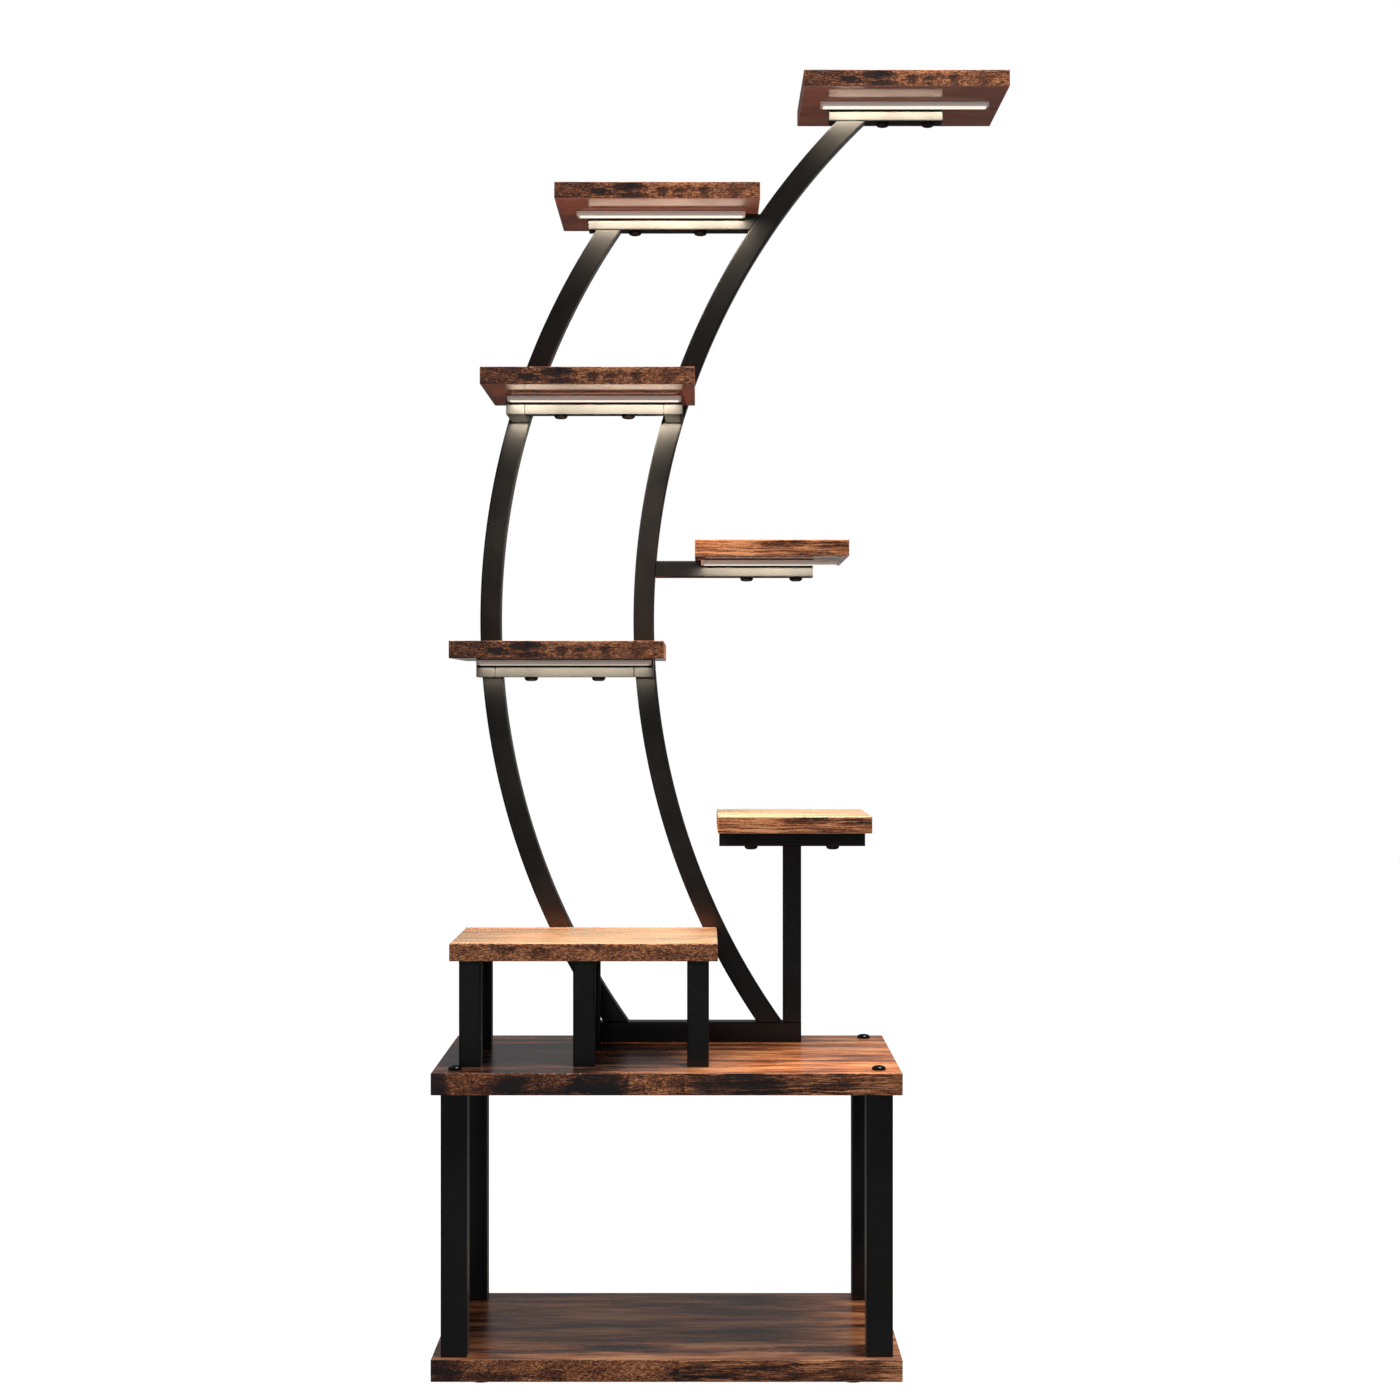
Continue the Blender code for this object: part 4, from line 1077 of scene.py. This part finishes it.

# %% [markdown]
# ## The light bars
#
# The channel of a light bar is a thin plate with a cap at each end. The cover between the caps has its two
# lower edges rounded. The glow attribute fades from 1 on the lower face to a dim rest where the round edge
# ends. A thin near-black strip between the bar and the steel behind it is painted shade: it stands for the
# shadow gap there, and it also keeps the lamp off the top of the steel. The glossy board above mirrors that
# lit steel, so no part of a light bar blocks the mirror image.

# %% Light bars
CAP_LENGTH = 0.003
CAP_ROUND = 0.0006
PLATE_THICKNESS = 0.0016
COVER_ROUND = 0.0008
COVER_SEGMENTS = 4
FACES_UP = 0.9
# How far the strip of painted shade reaches below the light bar
SHADOW_STRIP_BELOW = 0.0026


def unmirrored(piece):
    piece.visible_glossy = False
    return piece


def light_housing(name):
    node_name = "light_housing_" + name
    low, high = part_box(node_name)
    shape = bmesh.new()
    for left, right in ((low.x, low.x + CAP_LENGTH), (high.x - CAP_LENGTH, high.x)):
        cap = add_box(shape, Vector((left, low.y, low.z)), Vector((right, high.y, high.z)))
        round_off(shape, edges_of(cap), CAP_ROUND, 2)
    plate_low = Vector((low.x + CAP_LENGTH, low.y, high.z - PLATE_THICKNESS))
    add_box(shape, plate_low, Vector((high.x - CAP_LENGTH, high.y, high.z)))
    return unmirrored(make_piece(node_name + "_channel", shape, housing_finish, [node_name]))


def light_cover(name):
    node_name = "light_diffuser_" + name
    low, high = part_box(node_name)
    shape = bmesh.new()
    made = add_box(shape, low, high)
    lower_long = [
        edge
        for edge in edges_of(made)
        if max(vert.co.z for vert in edge.verts) < low.z + MERGE
        and abs(edge.verts[0].co.x - edge.verts[1].co.x) > MERGE
    ]
    round_off(shape, lower_long, COVER_ROUND, COVER_SEGMENTS)
    shape.normal_update()
    glow_layer = shape.loops.layers.float.new("glow")
    for face in shape.faces:
        hidden = face.normal.z > FACES_UP
        for loop in face.loops:
            fading = max(SIDE_GLOW, 1 - (loop.vert.co.z - low.z) / COVER_ROUND)
            loop[glow_layer] = 0.0 if hidden else fading
    return unmirrored(make_piece(node_name + "_cover", shape, cover_finish, [node_name]))


def painted_shadow_strip(name, behind):
    """A near-black strip of painted shade between a light bar and the steel behind it, standing for the
    shadow gap there, which shows as a dark line.
    """
    low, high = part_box("light_housing_" + name)
    bar_low, bar_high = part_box(behind)
    shape = bmesh.new()
    shadow_strip_low = Vector((max(low.x, bar_low.x), high.y + SEAT_GAP, low.z - SHADOW_STRIP_BELOW))
    shadow_strip_high = Vector((min(high.x, bar_high.x), bar_low.y - SEAT_GAP, high.z))
    made = add_box(shape, shadow_strip_low, shadow_strip_high)
    round_off(shape, edges_of(made), SEAT_GAP / 2, 1)
    return unmirrored(make_piece("painted_shadow_strip_" + name, shape, shadow_strip_finish, []))


LIGHTS = {
    "top": "crossbar_top",
    "upper": "crossbar_upper",
    "middle": "bracket_middle",
    "lower": "bracket_lower",
    "side_upper": "side_arm",
}
for name, behind in LIGHTS.items():
    light_housing(name)
    light_cover(name)
    # The strip of painted shade that stands for the shadow gap behind the light bar
    painted_shadow_strip(name, behind)
    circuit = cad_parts["light_circuit_" + name]
    circuit.data.materials.clear()
    circuit.data.materials.append(circuit_finish)
print("light bars:", len(LIGHTS))

# %% [markdown]
# ## Screws that only show from below or behind
#
# Someone who turns the stand over finds the screws that hold it together: one into each bench post and three
# into the foot bar, all from under the middle board, and a pair at each sleeve joint at the back of the half
# moon. They are small pan heads, all made by one profile.

# %% Hidden screws
SCREW_HEAD = 0.005
SCREW_HEIGHT = 0.0022
SCREW_RECESS = 0.0014
RECESS_FLOOR = SCREW_HEIGHT / 3
PAN_STEPS = 4
FOOT_BAR_SCREWS = 3
JOINT_SCREW_AWAY = 0.018


def screw_profile():
    points = [(0, SEAT_GAP), (SCREW_HEAD, SEAT_GAP)]
    for angle in quarter_turn(PAN_STEPS):
        radius = SCREW_RECESS + (SCREW_HEAD - SCREW_RECESS) * math.cos(angle)
        points.append((radius, -SCREW_HEIGHT * math.sin(angle)))
    return points + [(SCREW_RECESS, -RECESS_FLOOR), (0, -RECESS_FLOOR)]


def middle_board_screws():
    """One screw under each bench post and a row under the foot bar, their heads below the board."""
    spots = []
    for place_name in ("left", "middle", "right"):
        low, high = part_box("bench_frame_" + place_name)
        x = (low.x + high.x) / 2
        spots += [(x, low.y + BENCH_TUBE / 2), (x, high.y - BENCH_TUBE / 2)]
    low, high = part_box("foot_bar")
    for index in range(FOOT_BAR_SCREWS):
        x = low.x + (high.x - low.x) * (index + 0.5) / FOOT_BAR_SCREWS
        spots.append((x, (low.y + high.y) / 2))
    made = bmesh.new()
    for x, y in spots:
        turn_profile(made, screw_profile(), Vector((x, y, middle_board_low.z - SEAT_GAP)))
    return make_piece("middle_board_screws", made, bolt_finish, [])


def joint_screws():
    """Two screws at each sleeve joint, their heads on the back face of the tube."""
    made = bmesh.new()
    _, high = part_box("arc_left_middle")
    to_back = Matrix.Rotation(math.pi / 2, 3, "X")
    for centre_x in ARCS.values():
        for joint in (LOWER_JOINT, UPPER_JOINT):
            for away in (-JOINT_SCREW_AWAY, JOINT_SCREW_AWAY):
                outward = arc_outward(joint + away / BAND_RADIUS)
                at = arc_centre(centre_x, high.y + SEAT_GAP) + outward * BAND_RADIUS
                verts = turn_profile(made, screw_profile(), Vector())
                bmesh.ops.rotate(made, verts=verts, cent=(0, 0, 0), matrix=to_back)
                bmesh.ops.translate(made, verts=verts, vec=at)
    return make_piece("arc_joint_screws", made, bolt_finish, [])


for screws in (middle_board_screws(), joint_screws()):
    print(screws.name, len(screws.data.polygons), "faces")

# %% [markdown]
# ## Light from the light bars
#
# A glowing face lights its surroundings too, but a small bright mesh makes a noisy picture. An area lamp
# under each cover does the same work and is sampled directly. It is hidden from the camera and from mirrors,
# which show the cover and the steel instead, and it hangs 2 mm in front of the cover, so that the bar behind
# it is lit evenly. A bracket keeps its own light from the arcs behind it, yet on the real stand they shine
# there, so the two brackets get a weaker second lamp behind them. The bench top, right under a light, throws
# an orange glow on the feet of the arcs. One more strip, close above its back part and turned to the arcs,
# makes that glow.

# %% Lamps under the covers
LAMP_POWER = {"top": 4.7, "upper": 4.7, "middle": 4.4, "lower": 2.15, "side_upper": 2.4}
LAMP_COLOUR = (1.0, 0.80, 0.56)
LAMP_DROP = 0.0005
LAMP_FORWARD = 0.002
SPILL_POWER = {"middle": 3.0, "lower": 0.5}
BENCH_GLOW_POWER = 0.23
BENCH_GLOW_COLOUR = (1.0, 0.23, 0.075)
BENCH_GLOW_WIDTH = 0.003
BENCH_GLOW_INSET = 0.011
BENCH_GLOW_TILT = math.radians(110)


def area_lamp(name, at, width, depth, power, colour):
    """A flat lamp that shines down."""
    data = bpy.data.lights.new(name, "AREA")
    data.shape = "RECTANGLE"
    data.size = width
    data.size_y = depth
    data.energy = power
    data.color = colour
    lamp = add_object(name, data)
    lamp.location = at
    return lamp


def strip_lamp(name, low, high, power, colour=LAMP_COLOUR, tilt=0.0):
    """A lamp as large as the underside of a box, and just below it. A tilt turns it towards the back."""
    at = upright_axis(low, high, low.z - LAMP_DROP)
    lamp = area_lamp(name, at, high.x - low.x, high.y - low.y, power, colour)
    lamp.rotation_euler = (tilt, 0, 0)
    lamp.visible_camera = False
    lamp.visible_glossy = False


for name, power in LAMP_POWER.items():
    low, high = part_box("light_diffuser_" + name)
    forward = Vector((0, -LAMP_FORWARD, 0))
    strip_lamp("lamp_" + name, low + forward, high + forward, power)
for name, power in SPILL_POWER.items():
    low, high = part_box("light_diffuser_" + name)
    bracket_low, bracket_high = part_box("bracket_" + name)
    spill_high = Vector((bracket_high.x, bracket_high.y - LAMP_FORWARD, bracket_high.z))
    spill_low = Vector((bracket_low.x, spill_high.y - (high.y - low.y), bracket_low.z))
    strip_lamp("spill_" + name, spill_low, spill_high, power)
low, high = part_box("bench_board")
glow_high = Vector((high.x, high.y - BENCH_GLOW_INSET, high.z + BENCH_GLOW_WIDTH))
glow_low = Vector((low.x, glow_high.y - BENCH_GLOW_WIDTH, glow_high.z))
strip_lamp("bench_glow", glow_low, glow_high, BENCH_GLOW_POWER, BENCH_GLOW_COLOUR, BENCH_GLOW_TILT)
print("lamps:", len(LAMP_POWER) + len(SPILL_POWER) + 1)

# %% [markdown]
# ## Floor and light
#
# The product stands on a white sweep in a bright studio. Where the camera looks straight at them, the floor
# and the world are white. For everything that they light they are a soft grey, so that the black tubes stay
# black. It is a little brighter behind the stand, which gives the tubes their pale edges, and the floor is
# paler far in front, where the flat front faces mirror it. One large soft light hangs above and another one
# fills in from the front. That one is kept out of reflections, or each glossy tube would show it.

# %% Floor and studio light
FLOOR_HALF = 12.0
FLOOR_WHITE = 0.99
NEAR_GREY = 0.13
FAR_GREY = 0.80
NEAR_FRONT = -2.8
FAR_FRONT = -6.5
FRONT_LIGHT = 0.11
BACK_LIGHT = 0.20
WRAP = (-0.2, 0.9)


def for_camera(tree, otherwise, seen):
    """One strength for what the camera sees directly, and another for what lights the stand."""
    path = node(tree, "LightPath", {}).outputs["Is Camera Ray"]
    return node(tree, "MapRange", {"Value": path, "To Min": otherwise, "To Max": seen}).outputs[0]


shape = bmesh.new()
bmesh.ops.create_grid(shape, x_segments=1, y_segments=1, size=FLOOR_HALF)
mesh = bpy.data.meshes.new("floor")
shape.to_mesh(mesh)
shape.free()
floor = add_object("floor", mesh)
floor.location.z = cad_low.z
floor_finish, tree, shader = new_material("white_sweep")
away = node(tree, "SeparateXYZ", {"Vector": object_place(tree)}).outputs["Y"]
grey = spread(tree, away, FAR_FRONT, NEAR_FRONT, FAR_GREY, NEAR_GREY)
feed(tree, shader, {"Base Color": grey, "Roughness": 0.9, "Specular IOR Level": 0.1})
white = for_camera(tree, 0.0, FLOOR_WHITE)
feed(tree, shader, {"Emission Color": (1, 1, 1, 1), "Emission Strength": white})
mesh.materials.append(floor_finish)

world = bpy.data.worlds.new("studio")
bpy.context.scene.world = world
world.use_nodes = True
sky = world.node_tree
direction = node(sky, "TexCoord", {}).outputs["Generated"]
towards_back = node(sky, "SeparateXYZ", {"Vector": direction}).outputs["Y"]
wrap = spread(sky, towards_back, *WRAP, FRONT_LIGHT, BACK_LIGHT)
feed(sky, sky.nodes["Background"], {"Color": (1, 1, 1, 1), "Strength": for_camera(sky, wrap, 1.0)})


def soft_light(name, at, towards, size, power, colour):
    lamp = area_lamp(name, at, size, size, power, colour)
    lamp.rotation_mode = "QUATERNION"
    lamp.rotation_quaternion = (Vector(towards) - Vector(at)).to_track_quat("-Z", "Y")
    return lamp


WARMER = (1.0, 0.98, 0.95)
COOLER = (0.96, 0.97, 1.0)
soft_light("key", at=(0.7, -0.4, 3.2), towards=(0, 0, 0.6), size=1.2, power=114, colour=WARMER)
fill = soft_light("fill", at=(-0.7, -4.6, 1.3), towards=(0, 0, 0.5), size=1.8, power=84, colour=COOLER)
fill.visible_glossy = False
print("studio ready")
